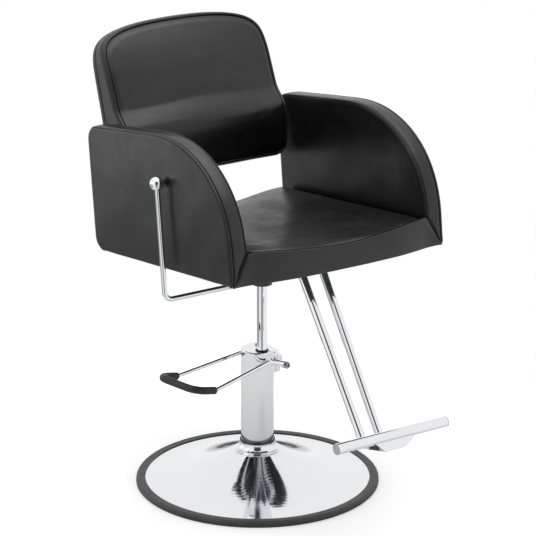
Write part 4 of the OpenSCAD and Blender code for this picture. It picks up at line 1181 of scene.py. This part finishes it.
@dataclass
class Seat:
    """The seat cushion and the sewn border across its front."""

    finishes: Finishes
    sewing: Stitching
    # Front: half width between the arms and over the mitres, the mitres' height, the arms' front, and the bow
    inner_x: float = 242
    mitre_x: float = 285
    mitre_z: float = 72
    arm_front: float = 318
    bow: float = 28
    bow_power: float = 3
    # Border: height in the middle, thickness and crown
    border_low: float = 57
    border_t: float = 5
    border_crown: float = 2.6
    # Cushion: half width, height in the middle, rise to the arms, dip, underside, rear, and drop along the arms
    cushion_half: float = 239.4
    cushion_h: float = 61
    cushion_rise: float = 13
    cushion_dip: float = 3
    cushion_low: float = 22.3
    cushion_rear: float = 250
    edge_drop: float = 28
    # Rounding of its front and rear, its rows and columns, and its swell
    nose: float = 24
    tail: float = 22
    rows: int = 44
    columns: int = 36
    swell: float = 4.5
    voxel: float = 8
    # Steps: along each mitre, along half the front, up the border's face, round the cushion's nose and tail
    mitre_steps: int = 9
    half_steps: int = 40
    face_steps: int = 12
    nose_steps: int = 7
    # How far the front line is averaged to ease it, in millimetres either way
    ease: tuple[float, ...] = (-16, -8, 0, 8, 16)
    # Rolled edges of the border: distance behind its face, distance in from its edge
    top_roll: tuple[Pair, ...] = ((0, 4.4), (0.4, 2.6), (1.2, 1.2), (2.2, 0.7), (3.2, 1.2), (4.0, 2.6), (4.4, 4.4))
    low_roll: tuple[Pair, ...] = ((5, 0.2), (3.2, 0.2), (1.4, 0.8), (0.4, 2.3), (0, 5))
    # Ends of the border: gap left at its tip, gap along the mitre, and the height under which it thins
    tip: float = 1.2
    slip: float = 0.4
    thin_h: float = 16
    # Unevenness of the two covers: height, width and the pattern's offset
    border_uneven: Triple = (0.5, 60, 8.2)
    cushion_uneven: Triple = (1.2, 85, 5.7)
    # Share of the half width where the cushion begins to rise or drop, and the share that this takes
    rise_span: Pair = (0.25, 0.65)
    drop_span: Pair = (0.9, 0.1)
    drop_power: float = 2.2
    # Section of the cushion: gap behind the border, rounding of its foot, drops of its lip, step of its nose
    gap: float = 0.4
    foot_roll: tuple[Pair, ...] = ((14, 0), (4, 1.5), (0, 8))
    lip_drops: Pair = (1.5, 2.5)
    lip_roll: tuple[Pair, ...] = ((0, -4), (0.3, -1))
    nose_step: float = 0.8
    tail_drop: float = 20
    # Hold of the cushion: from the sides inwards, above its foot, and behind its lip
    held_side: Pair = (205, 28)
    held_foot: float = 16
    held_lip: Pair = (8, 34)
    # Folds towards the rear corners
    folds: tuple[Fold, ...] = (Fold(208, 62, 24, 1.5), Fold(182, 70, 30, 1.2), Fold(150, 58, 34, 0.9))
    # Place of the seam's thread: behind the border's face, below its upper edge, and depth in the mitres
    seam_back: float = 4.9
    seam_drop: float = 0.5
    mitre_depth: float = 2.4
    # Steps of the thread's paths: along half the front, and up each mitre
    seam_steps: tuple[int, int] = (60, 24)
    # Spacing of the cushion's sections, closer towards the arms
    column_power: float = 0.9

    def front_line(self, x: float) -> float:
        """Front line of the seat, bowed forward between the arms and eased where it meets them."""
        near = [min(abs(x + d) / self.inner_x, 1) ** self.bow_power for d in self.ease]
        return -self.arm_front - self.bow * (1 - sum(near) / len(near))

    def border_top(self, x: float) -> float:
        """Find the border's upper edge: low in the middle, rising to the mitres and falling along them.

        Args:
            x: Place across the seat.

        Returns:
            Height of the edge.
        """
        if abs(x) <= self.inner_x:
            return self.border_low + (self.mitre_z - self.border_low) * smooth_step(abs(x) / self.inner_x)
        return self.mitre_z * (self.mitre_x - abs(x)) / (self.mitre_x - self.inner_x)

    def border(self) -> None:
        """Build the border as a crowned strip whose edges roll into the seams."""
        side = [self.inner_x + (self.mitre_x - self.inner_x) * i / self.mitre_steps for i in range(self.mitre_steps)]
        side.append(self.mitre_x - self.tip)
        middle = [self.inner_x * i / self.half_steps for i in range(1 - self.half_steps, self.half_steps)]
        stations = [-x for x in reversed(side)] + middle + side
        rings = []
        for x in stations:
            top, face = self.border_top(x), self.front_line(x)
            k = min(1.0, top / self.thin_h)
            low = [(x, face + b, h * k) for b, h in self.low_roll]
            high = [(x, face + b, top - h * k) for b, h in self.top_roll]
            body = []
            for i in range(1, self.face_steps):
                v = i / self.face_steps
                crown = self.border_crown * k * (1 - (2 * v - 1) ** 2)
                body.append((x, face - crown, low[-1][2] + (high[0][2] - low[-1][2]) * v))
            slip = self.slip * smooth_step(abs(x) / self.inner_x) * (1 if x > 0 else -1)
            rings.append([(p[0] - slip, p[1], p[2]) for p in [*low, *body, *high]])
        points, faces = loft(rings)
        piece = mesh_object("front_border_cover", points, faces, SEAT_FRAME)
        face_outwards(piece)
        cover(piece, self.finishes.leather, self.border_uneven)
        finish_piece(piece, "seat", "leatherette", "front_border")
        thread = self.sewing.sew("front_border_stitches", self.seam_lines(), self.finishes.thread)
        finish_piece(thread, "seat", "leatherette")

    def seam_lines(self) -> list[list[Vector]]:
        """Draw the thread's paths along the border's upper edge and down its two mitres.

        Returns:
            The paths in metres.
        """
        half, up = self.seam_steps
        across = [self.inner_x * i / half for i in range(1 - half, half)]
        lines = [[(x, self.front_line(x) + self.seam_back, self.border_top(x) - self.seam_drop) for x in across]]
        for side in Side:
            heights = [self.mitre_z * i / up for i in range(1, up + 1)]
            edge = [self.mitre_x + (self.inner_x - self.mitre_x) * z / self.mitre_z for z in heights]
            lines.append([(side.value * x, -self.arm_front + self.mitre_depth, z) for x, z in zip(edge, heights)])
        return [[SEAT_FRAME @ (Vector(p) * MM) for p in line] for line in lines]

    def top(self, x: float, v: float) -> float:
        """Find the top of the cushion, which rises towards the arms.

        Args:
            x: Place across the seat.
            v: Share of the depth, from the front.

        Returns:
            Height of the top.
        """
        s = abs(x) / self.cushion_half
        rise = self.cushion_rise * smooth_step((s - self.rise_span[0]) / self.rise_span[1])
        drop = self.edge_drop * max(0.0, (s - self.drop_span[0]) / self.drop_span[1]) ** self.drop_power
        return self.cushion_h + rise - drop - self.cushion_dip * (1 - (2 * v - 1) ** 2) * (1 - s * s)

    def cushion_ring(self, x: float) -> list[Triple]:
        """Section of the cushion from front to rear at one place across it.

        Args:
            x: Place across the cushion.

        Returns:
            Closed ring of points.
        """
        low, front, rear = self.cushion_low, self.front_line(x) + self.border_t + self.gap, self.cushion_rear
        depth = rear - front
        lip = min(self.border_top(x) - self.lip_drops[0], self.top(x, 0) - self.lip_drops[1])
        ring = [(x, front + b, low + h) for b, h in self.foot_roll]
        ring.append((x, front, (low + lip) / 2))
        ring += [(x, front + b, lip + h) for b, h in self.lip_roll]
        start = self.top(x, self.nose / depth)
        turns = [math.pi / 2 * i / self.nose_steps for i in range(1, self.nose_steps + 1)]
        for a in turns[:-1]:
            y = front + self.nose_step + self.nose * (1 - math.cos(a))
            ring.append((x, y, lip + (start - lip) * math.sin(a)))
        for i in range(self.rows + 1):
            run = depth - self.nose_step - self.nose - self.tail
            y = front + self.nose_step + self.nose + run * i / self.rows
            ring.append((x, y, self.top(x, (y - front) / depth)))
        end = ring[-1][2]
        for a in turns:
            ring.append((x, rear - self.tail * (1 - math.sin(a)), end - self.tail_drop * (1 - math.cos(a))))
        return ring + [(x, rear - b, low + h) for b, h in reversed(self.foot_roll)]

    def pad(self) -> Pad:
        """Build the cushion, not yet swelled.

        Returns:
            The cushion as a pad.
        """
        angles = [math.pi / 2 * (i / self.columns) for i in range(1, self.columns + 1)]
        shares = [math.sin(a) ** self.column_power for a in angles]
        half = [self.cushion_half * s for s in shares]
        stations = [-x for x in reversed(half)] + [0.0] + half
        piece = mesh_object("cushion", *loft([self.cushion_ring(x) for x in stations]))
        face_outwards(piece)

        def hold(p: Vector) -> float:
            """Tell how firmly a point of the cushion is held.

            Args:
                p: The point in millimetres.

            Returns:
                0 where it is free, to 1 where it stays.
            """
            sides = smooth_step((abs(p.x) - self.held_side[0]) / self.held_side[1])
            under = 1.0 if p.z < self.cushion_low + self.held_foot else 0.0
            lip = 1 - smooth_step((p.y - self.front_line(p.x) - self.held_lip[0]) / self.held_lip[1])
            return max(sides, under, lip)

        return Pad(piece, hold, self.swell, self.voxel)

    def cushion(self, swelled: bpy.types.Object) -> None:
        """Put the swelled cushion in place, with the slack leather's folds towards its rear corners.

        Args:
            swelled: Cushion in its own frame.
        """
        for side in Side:
            for fold in self.folds:
                fold.press(swelled, side)
        piece = place_copy(swelled, "seat_cushion_cover", SEAT_FRAME)
        cover(piece, self.finishes.leather, self.cushion_uneven)
        finish_piece(piece, "seat", "foam_leatherette", "seat_cushion")
        discard(swelled)


@dataclass
class Back:
    """The back pad with its lumbar ridge and sewn front edge, and the panel behind it."""

    finishes: Finishes
    sewing: Stitching
    # Outline: half width, height, radius of its feet, height of its shoulders, and how full they are
    half: float = 226
    height: float = 368
    foot_r: float = 26
    shoulder: float = 208
    shoulder_power: float = 6
    width_power: float = 2.54
    # Greatest thickness at the front seam, and thickness of the rear panel
    seam_t: float = 100
    panel_t: float = 15
    # Crown of the face in front of its seam, and how full it is across and up
    crown: float = 9
    crown_power: float = 2.4
    crown_ends: float = 4
    # Spacing of the outline's points, and the steps it is drawn with, closer towards the sides
    spacing: float = 6
    outline_steps: int = 160
    outline_power: float = 3
    # Height that the face's rings shrink to, and share of the width that the last one keeps
    centre_h: float = 190
    ridge_share: float = 0.5
    swell: float = 5
    voxel: float = 7
    # Rings up the side and over the face, and the gap before the rear panel
    side_steps: int = 6
    face_steps: int = 33
    gap: float = 0.4
    # Rear edge: distance in from the outline, distance forward of the panel
    rear_roll: tuple[Pair, ...] = ((5, 0), (2.2, 0), (0.7, 0.9), (0, 3))
    # Hold: before the rear edge, beside the seam from and over what distance, and on the side strips
    held_rear: float = 8
    held_seam: Pair = (9, 26)
    held_strip: Pair = (4, 0.75)
    # Unevenness: height, width and the pattern's offset
    uneven: Triple = (0.9, 110, 2.3)
    # Height share and thickness share of the pad at its front seam
    profile: tuple[Pair, ...] = ((0, 0.66), (0.12, 0.84), (0.24, 0.97), (0.315, 1), (0.34, 0.97), (0.43, 0.775),
                                 (0.455, 0.74), (0.6, 0.68), (0.7, 0.64), (0.85, 0.52), (1, 0.38))
    # Front edge: distance in from the outline, distance forward of the seam depth
    front_rim: tuple[Pair, ...] = ((-1.2, -14), (0.0, -8.5), (0.6, -6.2), (2.9, -5.5), (2.9, -4.5), (0.9, -3.8),
                                   (1.0, -2.2), (2.0, -0.5), (4.0, 0.4), (6.4, 0.4), (7.5, -0.3), (7.8, -2.9),
                                   (8.8, -2.9), (9.1, -0.3), (11.5, 0.8), (15, 1.4))
    # Threads of its two grooves: distance in from the outline, distance behind the seam depth
    seams: tuple[Pair, ...] = ((1.9, 5.0), (8.3, 1.9))
    # How far the profile is averaged to ease its corners, as shares of the height
    profile_ease: tuple[float, ...] = (-0.016, -0.008, 0, 0.008, 0.016)
    # Rim of the rear panel: distance in from the outline, distance behind its front face or before its rear face
    panel_front: tuple[Pair, ...] = ((4, 0), (1.8, 0.1), (0.5, 1.1), (0, 3))
    panel_rear: tuple[Pair, ...] = ((0, 7), (0, 3.4), (0.9, 1.1), (3, 0.1), (8, 0))

    def top(self, s: float) -> float:
        """Upper edge at a share of the half width."""
        return self.shoulder + (self.height - self.shoulder) * max(0.0, 1 - s ** self.width_power) ** (
            1 / self.shoulder_power)

    def low(self, s: float) -> float:
        """Lower edge at a share of the half width."""
        past = max(0.0, s * self.half - self.half + self.foot_r)
        return self.foot_r - math.sqrt(max(0.0, self.foot_r ** 2 - past ** 2))

    def outline(self) -> list[Pair]:
        """Draw the outline of the pad.

        Returns:
            Points across and up, clockwise as seen from the front.
        """
        steps = self.outline_steps
        shares = [1 - (1 - i / steps) ** self.outline_power for i in range(steps + 1)]
        upper = [(self.half * s, self.top(s)) for s in shares]
        lower = [(self.half * s, self.low(s)) for s in reversed(shares)]
        right = upper + lower
        left = [(-x, z) for x, z in reversed(right)]
        line = resample(right + left, self.spacing, True)
        side = max(range(len(line)), key=lambda i: line[i][0] - abs(line[i][1] - self.centre_h) / self.half)
        return line[side:] + line[:side]

    def seam_depth(self, z: float) -> float:
        """Thickness of the pad at its seam at a height, its corners eased."""
        shares = [np.interp(z / self.height + d, *zip(*self.profile)) for d in self.profile_ease]
        return self.seam_t * float(np.mean(shares))

    def bulge(self, x: float, z: float) -> float:
        """Find how far the face stands in front of its seam.

        Args:
            x: Place across the back.
            z: Height.

        Returns:
            The distance.
        """
        s = min(1.0, abs(x) / self.half)
        low, high = self.low(s), self.top(s)
        u = max(0.0, min(1.0, (z - low) / max(high - low, 1)))
        return self.crown * (1 - s ** self.crown_power) * (1 - (2 * u - 1) ** self.crown_ends)

    def pad(self) -> Pad:
        """Build the pad, not yet swelled.

        Returns:
            The pad.
        """
        line = self.outline()
        start = self.panel_t + self.gap
        rings = [[(x, -(start + ahead), z) for x, z in inset(line, g, True)] for g, ahead in self.rear_roll]
        edge, first = self.front_rim[0], start + self.rear_roll[-1][1]
        for i in range(1, self.side_steps):
            t = i / self.side_steps
            side = inset(line, edge[0] * math.sin(math.pi / 2 * t), True)
            rings.append([(p[0], -(first + (self.seam_depth(z) + edge[1] - first) * t), p[1])
                          for p, (_, z) in zip(side, line)])
        for g, ahead in self.front_rim:
            rings.append([(p[0], -(self.seam_depth(z) + ahead), p[1]) for p, (_, z) in zip(inset(line, g, True), line)])
        last = inset(line, self.front_rim[-1][0], True)
        for i in range(1, self.face_steps):
            share = 1 - i / self.face_steps
            ring = []
            for x, z in last:
                px = x * (self.ridge_share + (1 - self.ridge_share) * share)
                pz = self.centre_h + (z - self.centre_h) * share
                ring.append((px, -(self.seam_depth(pz) + self.front_rim[-1][1] + self.bulge(px, pz)), pz))
            rings.append(ring)
        piece = mesh_object("back_pad", *loft(rings))
        face_outwards(piece)
        seam = KDTree(len(line))
        for i, (p, (_, z)) in enumerate(zip(inset(line, self.seams[1][0], True), line)):
            seam.insert((p[0], -self.seam_depth(z), p[1]), i)
        seam.balance()

        def hold(p: Vector) -> float:
            """Tell how firmly a point of the pad is held.

            Args:
                p: The point in millimetres.

            Returns:
                0 where it is free, to 1 where it stays.
            """
            if -p.y < start + self.held_rear:
                return 1.0
            near = 1 - smooth_step((seam.find(p)[2] - self.held_seam[0]) / self.held_seam[1])
            strip = self.held_strip[1] if abs(abs(p.x) - self.half) < self.held_strip[0] else 0.0
            return max(near, strip)

        return Pad(piece, hold, self.swell, self.voxel)

    def stitches(self) -> bpy.types.Object:
        """Sew the two lines that run round the front edge.

        Returns:
            The stitches.
        """
        line = self.outline()
        paths = []
        for g, behind in self.seams:
            path = [BACK_FRAME @ Vector((p[0] * MM, -(self.seam_depth(z) - behind) * MM, p[1] * MM))
                    for p, (_, z) in zip(inset(line, g, True), line)]
            paths.append([*path, path[0]])
        return self.sewing.sew("back_stitches", paths, self.finishes.thread)

    def panel(self) -> None:
        """Build the flat covered panel behind the pad."""
        line = self.outline()
        rim = [*((g, self.panel_t - behind) for g, behind in self.panel_front), *self.panel_rear]
        rings = [[(x, -y, z) for x, z in inset(line, g, True)] for g, y in rim]
        piece = mesh_object("back_rear_cover", *loft(rings), BACK_FRAME)
        face_outwards(piece)
        put_material(piece, self.finishes.leather)
        finish_piece(piece, "back", "leatherette", "back_rear_panel")

    def build(self, swelled: bpy.types.Object) -> None:
        """Put the swelled pad in place with its stitches and rear panel.

        Args:
            swelled: Pad in its own frame.
        """
        piece = place_copy(swelled, "back_pad_cover", BACK_FRAME)
        cover(piece, self.finishes.leather, self.uneven)
        finish_piece(piece, "back", "foam_leatherette", "back_cushion")
        discard(swelled)
        finish_piece(self.stitches(), "back", "leatherette")
        self.panel()


@dataclass
class Hardware:
    """The frame, pump, base, footrest and lever, kept as built and given their real finishes."""

    finishes: Finishes

    def build(self) -> None:
        """Dress every hard node."""
        f = self.finishes
        dress(f.spun, "base_disc")
        dress(f.chrome, "base_collar", "pump_tube", "pump_head", "pedal_rod", "ram",
              "left_footrest_tube", "right_footrest_tube", "foot_block", "foot_bar", "lever_rod", "lever_ball",
              "pedal_bracket", "pedal_shaft")
        dress(f.steel, "base_bottom_plate", "flange_bolts", "ram_barrel", "filler_screw", "bracket_screws",
              "plunger_guide", "shaft_screws", "pedal_rocker", "plunger", "piston", "plate_bolts", "clamp_screws",
              "hinge_pin", "link_pin", "back_bolts", "gas_rod", "lever_cam")
        dress(f.ring, "base_ring")
        dress(f.grip, "pedal_grip")
        dress(f.plastic, "bar_plugs")
        dress(f.seal, "collar_seal", "wiper_seal", "piston_seal")
        dress(f.powder, "seat_hub", "seat_plate", "recline_channel", "tube_clamp", "gas_cylinder", "gas_anchor",
              "back_bar", "back_plate")
        dress(f.iron, "base_weight")
        dress(f.plywood, "seat_board", "left_arm_board", "right_arm_board")
        dress(f.felt, "dust_cover")


@dataclass(frozen=True)
class Lamp:
    """One soft square lamp: its place, the point it faces, its side in metres and its power in watts."""

    name: str
    place: Triple
    aim: Triple
    size: float
    power: float

    def hang(self) -> None:
        """Hang the lamp."""
        data = bpy.data.lights.new(self.name, "AREA")
        data.size = self.size
        data.energy = self.power
        lamp = add_object(self.name, data)
        lamp.location = self.place
        lamp.rotation_euler = (Vector(self.aim) - Vector(self.place)).to_track_quat("-Z", "Y").to_euler()


@dataclass
class Studio:
    """A white floor with a soft shadow, lamps, the room's light and the photograph's camera, in metres."""

    # Camera: lens and sensor in millimetres, place, the way it looks, and the way that is right in its picture
    lens: float = 181.0
    sensor: float = 36
    eye: Triple = (-3.2973, -4.9684, 2.508)
    ahead: Triple = (0.5283, 0.7888, -0.3145)
    right: Triple = (0.8309, -0.5565, 0.0)
    # Floor: radius, degrees between the rim's points, colour, roughness and specular level
    floor_r: float = 0.95
    rim_step: int = 3
    paper: str = "#f2f2f2"
    paper_rough: float = 0.9
    paper_gloss: float = 0.1
    # Glow of the floor near and far, and the radii between which it grows. It leaves the soft shadow near the base,
    # and being weaker there it also paints shade round the chair, whatever the lamps do
    glow: Pair = (0.42, 1.0)
    fade: Pair = (0.36, 0.8)
    # Glow that mirrors see in it, and strength of the room's light on dull surfaces
    mirrored: float = 0.06
    ambient: float = 0.5
    # Share of light that the room behind the camera lacks, below and above the horizon
    dark: Pair = (0.66, 0.95)
    # A grey card low at the rear left keeps the arms' sides deep: its direction and the light it takes
    card_way: Triple = (-0.556, 0.831, 0)
    card: float = 0.62
    # Cosines and heights of the sky between which the dark room and the card fade in
    dark_cone: Pair = (0.88, 0.97)
    dark_top: Pair = (0.86, 0.66)
    dark_turn: Pair = (-0.2, 0.1)
    card_cone: Pair = (0.5, 0.9)
    card_fall: Pair = (0.0, -0.22)
    lamps: tuple[Lamp, ...] = (Lamp("overhead_softbox", (0, 0, 4.0), (0, 0, 0), 4.0, 84),
                               Lamp("left_softbox", (-3.2, 0.6, 1.6), (0, 0, 0.7), 1.6, 4),
                               Lamp("rear_softbox", (-1.9, 2.7, 0.45), (-0.3, 0.1, 0.8), 1.2, 4))

    def camera(self) -> None:
        """Place the camera at the photograph's angle."""
        data = bpy.data.cameras.new("photo_camera")
        data.lens = self.lens
        data.sensor_width = self.sensor
        camera = add_object("photo_camera", data)
        ahead, right = Vector(self.ahead).normalized(), Vector(self.right).normalized()
        up = right.cross(ahead)
        turn = Matrix((right, up, -ahead)).transposed()
        camera.matrix_world = Matrix.Translation(self.eye) @ turn.to_4x4()
        bpy.context.scene.camera = camera

    def floor(self) -> None:
        """Lay the white floor, which keeps the chair's soft shadow; its glow is weaker near the base, painted shade
        round the chair.
        """
        rim = [(self.floor_r * math.cos(math.radians(a)), self.floor_r * math.sin(math.radians(a)), 0)
               for a in range(0, 360, self.rim_step)]
        mesh = bpy.data.meshes.new("studio_floor")
        mesh.from_pydata(rim, [], [range(len(rim))])
        floor = add_object("studio_floor", mesh)
        material = bpy.data.materials.new("white_paper_floor_painted_glow")
        material.use_nodes = True
        tree = material.node_tree
        feeds = tree.nodes["Principled BSDF"].inputs
        feeds["Base Color"].default_value = linear(self.paper)
        feeds["Roughness"].default_value = self.paper_rough
        feeds["Specular IOR Level"].default_value = self.paper_gloss
        feeds["Emission Color"].default_value = linear("#ffffff")
        rays = add_node(tree, "ShaderNodeLightPath").outputs
        seen = add_node(tree, "ShaderNodeMath", {"operation": "MAXIMUM"},
                        {0: rays["Is Camera Ray"], 1: rays["Is Transmission Ray"]})
        place = add_node(tree, "ShaderNodeTexCoord").outputs["Object"]
        away = add_node(tree, "ShaderNodeVectorMath", {"operation": "LENGTH"}, {0: place})
        # Painted shade: the glow is weaker near the base, so the floor is darker round the chair
        level = add_node(tree, "ShaderNodeMapRange", {"interpolation_type": "SMOOTHSTEP"},
                         {"Value": away.outputs["Value"], "From Min": self.fade[0], "From Max": self.fade[1],
                          "To Min": self.glow[0], "To Max": self.glow[1]})
        mirrored = add_node(tree, "ShaderNodeMath", {"operation": "MULTIPLY"},
                            {0: rays["Is Glossy Ray"], 1: self.mirrored})
        add_node(tree, "ShaderNodeMath", {"operation": "MULTIPLY_ADD"},
                 {0: seen.outputs[0], 1: level.outputs["Result"], 2: mirrored.outputs[0]},
                 {0: feeds["Emission Strength"]})
        put_material(floor, material)

    def world(self) -> None:
        """Light the room: plain white to the eye, with the dark of the room behind the camera in reflections."""
        world = bpy.data.worlds.new("studio_room")
        bpy.context.scene.world = world
        world.use_nodes = True
        tree = world.node_tree
        tree.nodes.clear()
        sky = add_node(tree, "ShaderNodeTexCoord").outputs["Generated"]
        height = add_node(tree, "ShaderNodeSeparateXYZ", {}, {"Vector": sky}).outputs["Z"]
        flat = add_node(tree, "ShaderNodeVectorMath", {"operation": "MULTIPLY"}, {0: sky, 1: (1, 1, 0)})
        compass = add_node(tree, "ShaderNodeVectorMath", {"operation": "NORMALIZE"}, {0: flat.outputs["Vector"]})
        behind, beside = (
            add_node(tree, "ShaderNodeVectorMath", {"operation": "DOT_PRODUCT"},
                     {0: compass.outputs["Vector"], 1: way}).outputs["Value"]
            for way in (Vector((self.eye[0], self.eye[1], 0)).normalized(), self.card_way))
        wide, under, depth, broad, sunk = (
            add_node(tree, "ShaderNodeMapRange", {"interpolation_type": fade},
                     {"Value": value, "From Min": source[0], "From Max": source[1],
                      "To Min": target[0], "To Max": target[1]}).outputs["Result"]
            for value, source, target, fade in (
                (behind, self.dark_cone, (0, 1), "SMOOTHSTEP"), (height, self.dark_top, (0, 1), "SMOOTHSTEP"),
                (height, self.dark_turn, self.dark, "LINEAR"), (beside, self.card_cone, (0, 1), "SMOOTHSTEP"),
                (height, self.card_fall, (0, self.card), "SMOOTHSTEP")))
        dark = add_node(tree, "ShaderNodeMath", {"operation": "MULTIPLY"}, {0: wide, 1: under})
        lack = add_node(tree, "ShaderNodeMath", {"operation": "MULTIPLY"}, {0: dark.outputs[0], 1: depth})
        card = add_node(tree, "ShaderNodeMath", {"operation": "MULTIPLY"}, {0: broad, 1: sunk})
        clear, rest = (
            add_node(tree, "ShaderNodeMath", {"operation": "SUBTRACT"}, {0: 1.0, 1: share.outputs[0]}).outputs[0]
            for share in (lack, card))
        seen = add_node(tree, "ShaderNodeMath", {"operation": "MULTIPLY"}, {0: clear, 1: rest}).outputs[0]
        mirror, plain, white = (
            add_node(tree, "ShaderNodeBackground", {}, {"Color": linear("#ffffff"), "Strength": strength}).outputs[0]
            for strength in (seen, self.ambient, 1.0))
        rays = add_node(tree, "ShaderNodeLightPath").outputs
        gloss = add_node(tree, "ShaderNodeMixShader", {}, {0: rays["Is Glossy Ray"], 1: plain, 2: mirror})
        eye = add_node(tree, "ShaderNodeMath", {"operation": "MAXIMUM"},
                       {0: rays["Is Camera Ray"], 1: rays["Is Transmission Ray"]})
        last = add_node(tree, "ShaderNodeMixShader", {}, {0: eye.outputs[0], 1: gloss.outputs[0], 2: white})
        add_node(tree, "ShaderNodeOutputWorld", {}, {"Surface": last.outputs[0]})

    def build(self) -> None:
        """Set up the stage."""
        self.camera()
        self.floor()
        self.world()
        for lamp in self.lamps:
            lamp.hang()
        bpy.context.scene.view_settings.view_transform = "Standard"


def main() -> None:
    """Build the chair and its stage."""
    logging.basicConfig(level=logging.INFO, format="%(message)s")
    finishes = Finishes()
    sewing, welt = Stitching(), Stitching(length=5.4, pitch=4.4, radius=1.25)
    arms, seat, back = Arms(finishes, sewing), Seat(finishes, welt), Back(finishes, sewing)
    pads = [*arms.pads(), seat.pad(), back.pad()]
    FoamRun().run(pads)
    arms.build(pads[0].piece, pads[1].piece)
    seat.cushion(pads[2].piece)
    seat.border()
    back.build(pads[3].piece)
    Hardware(finishes).build()
    Studio().build()


if __name__ == "__main__":
    main()
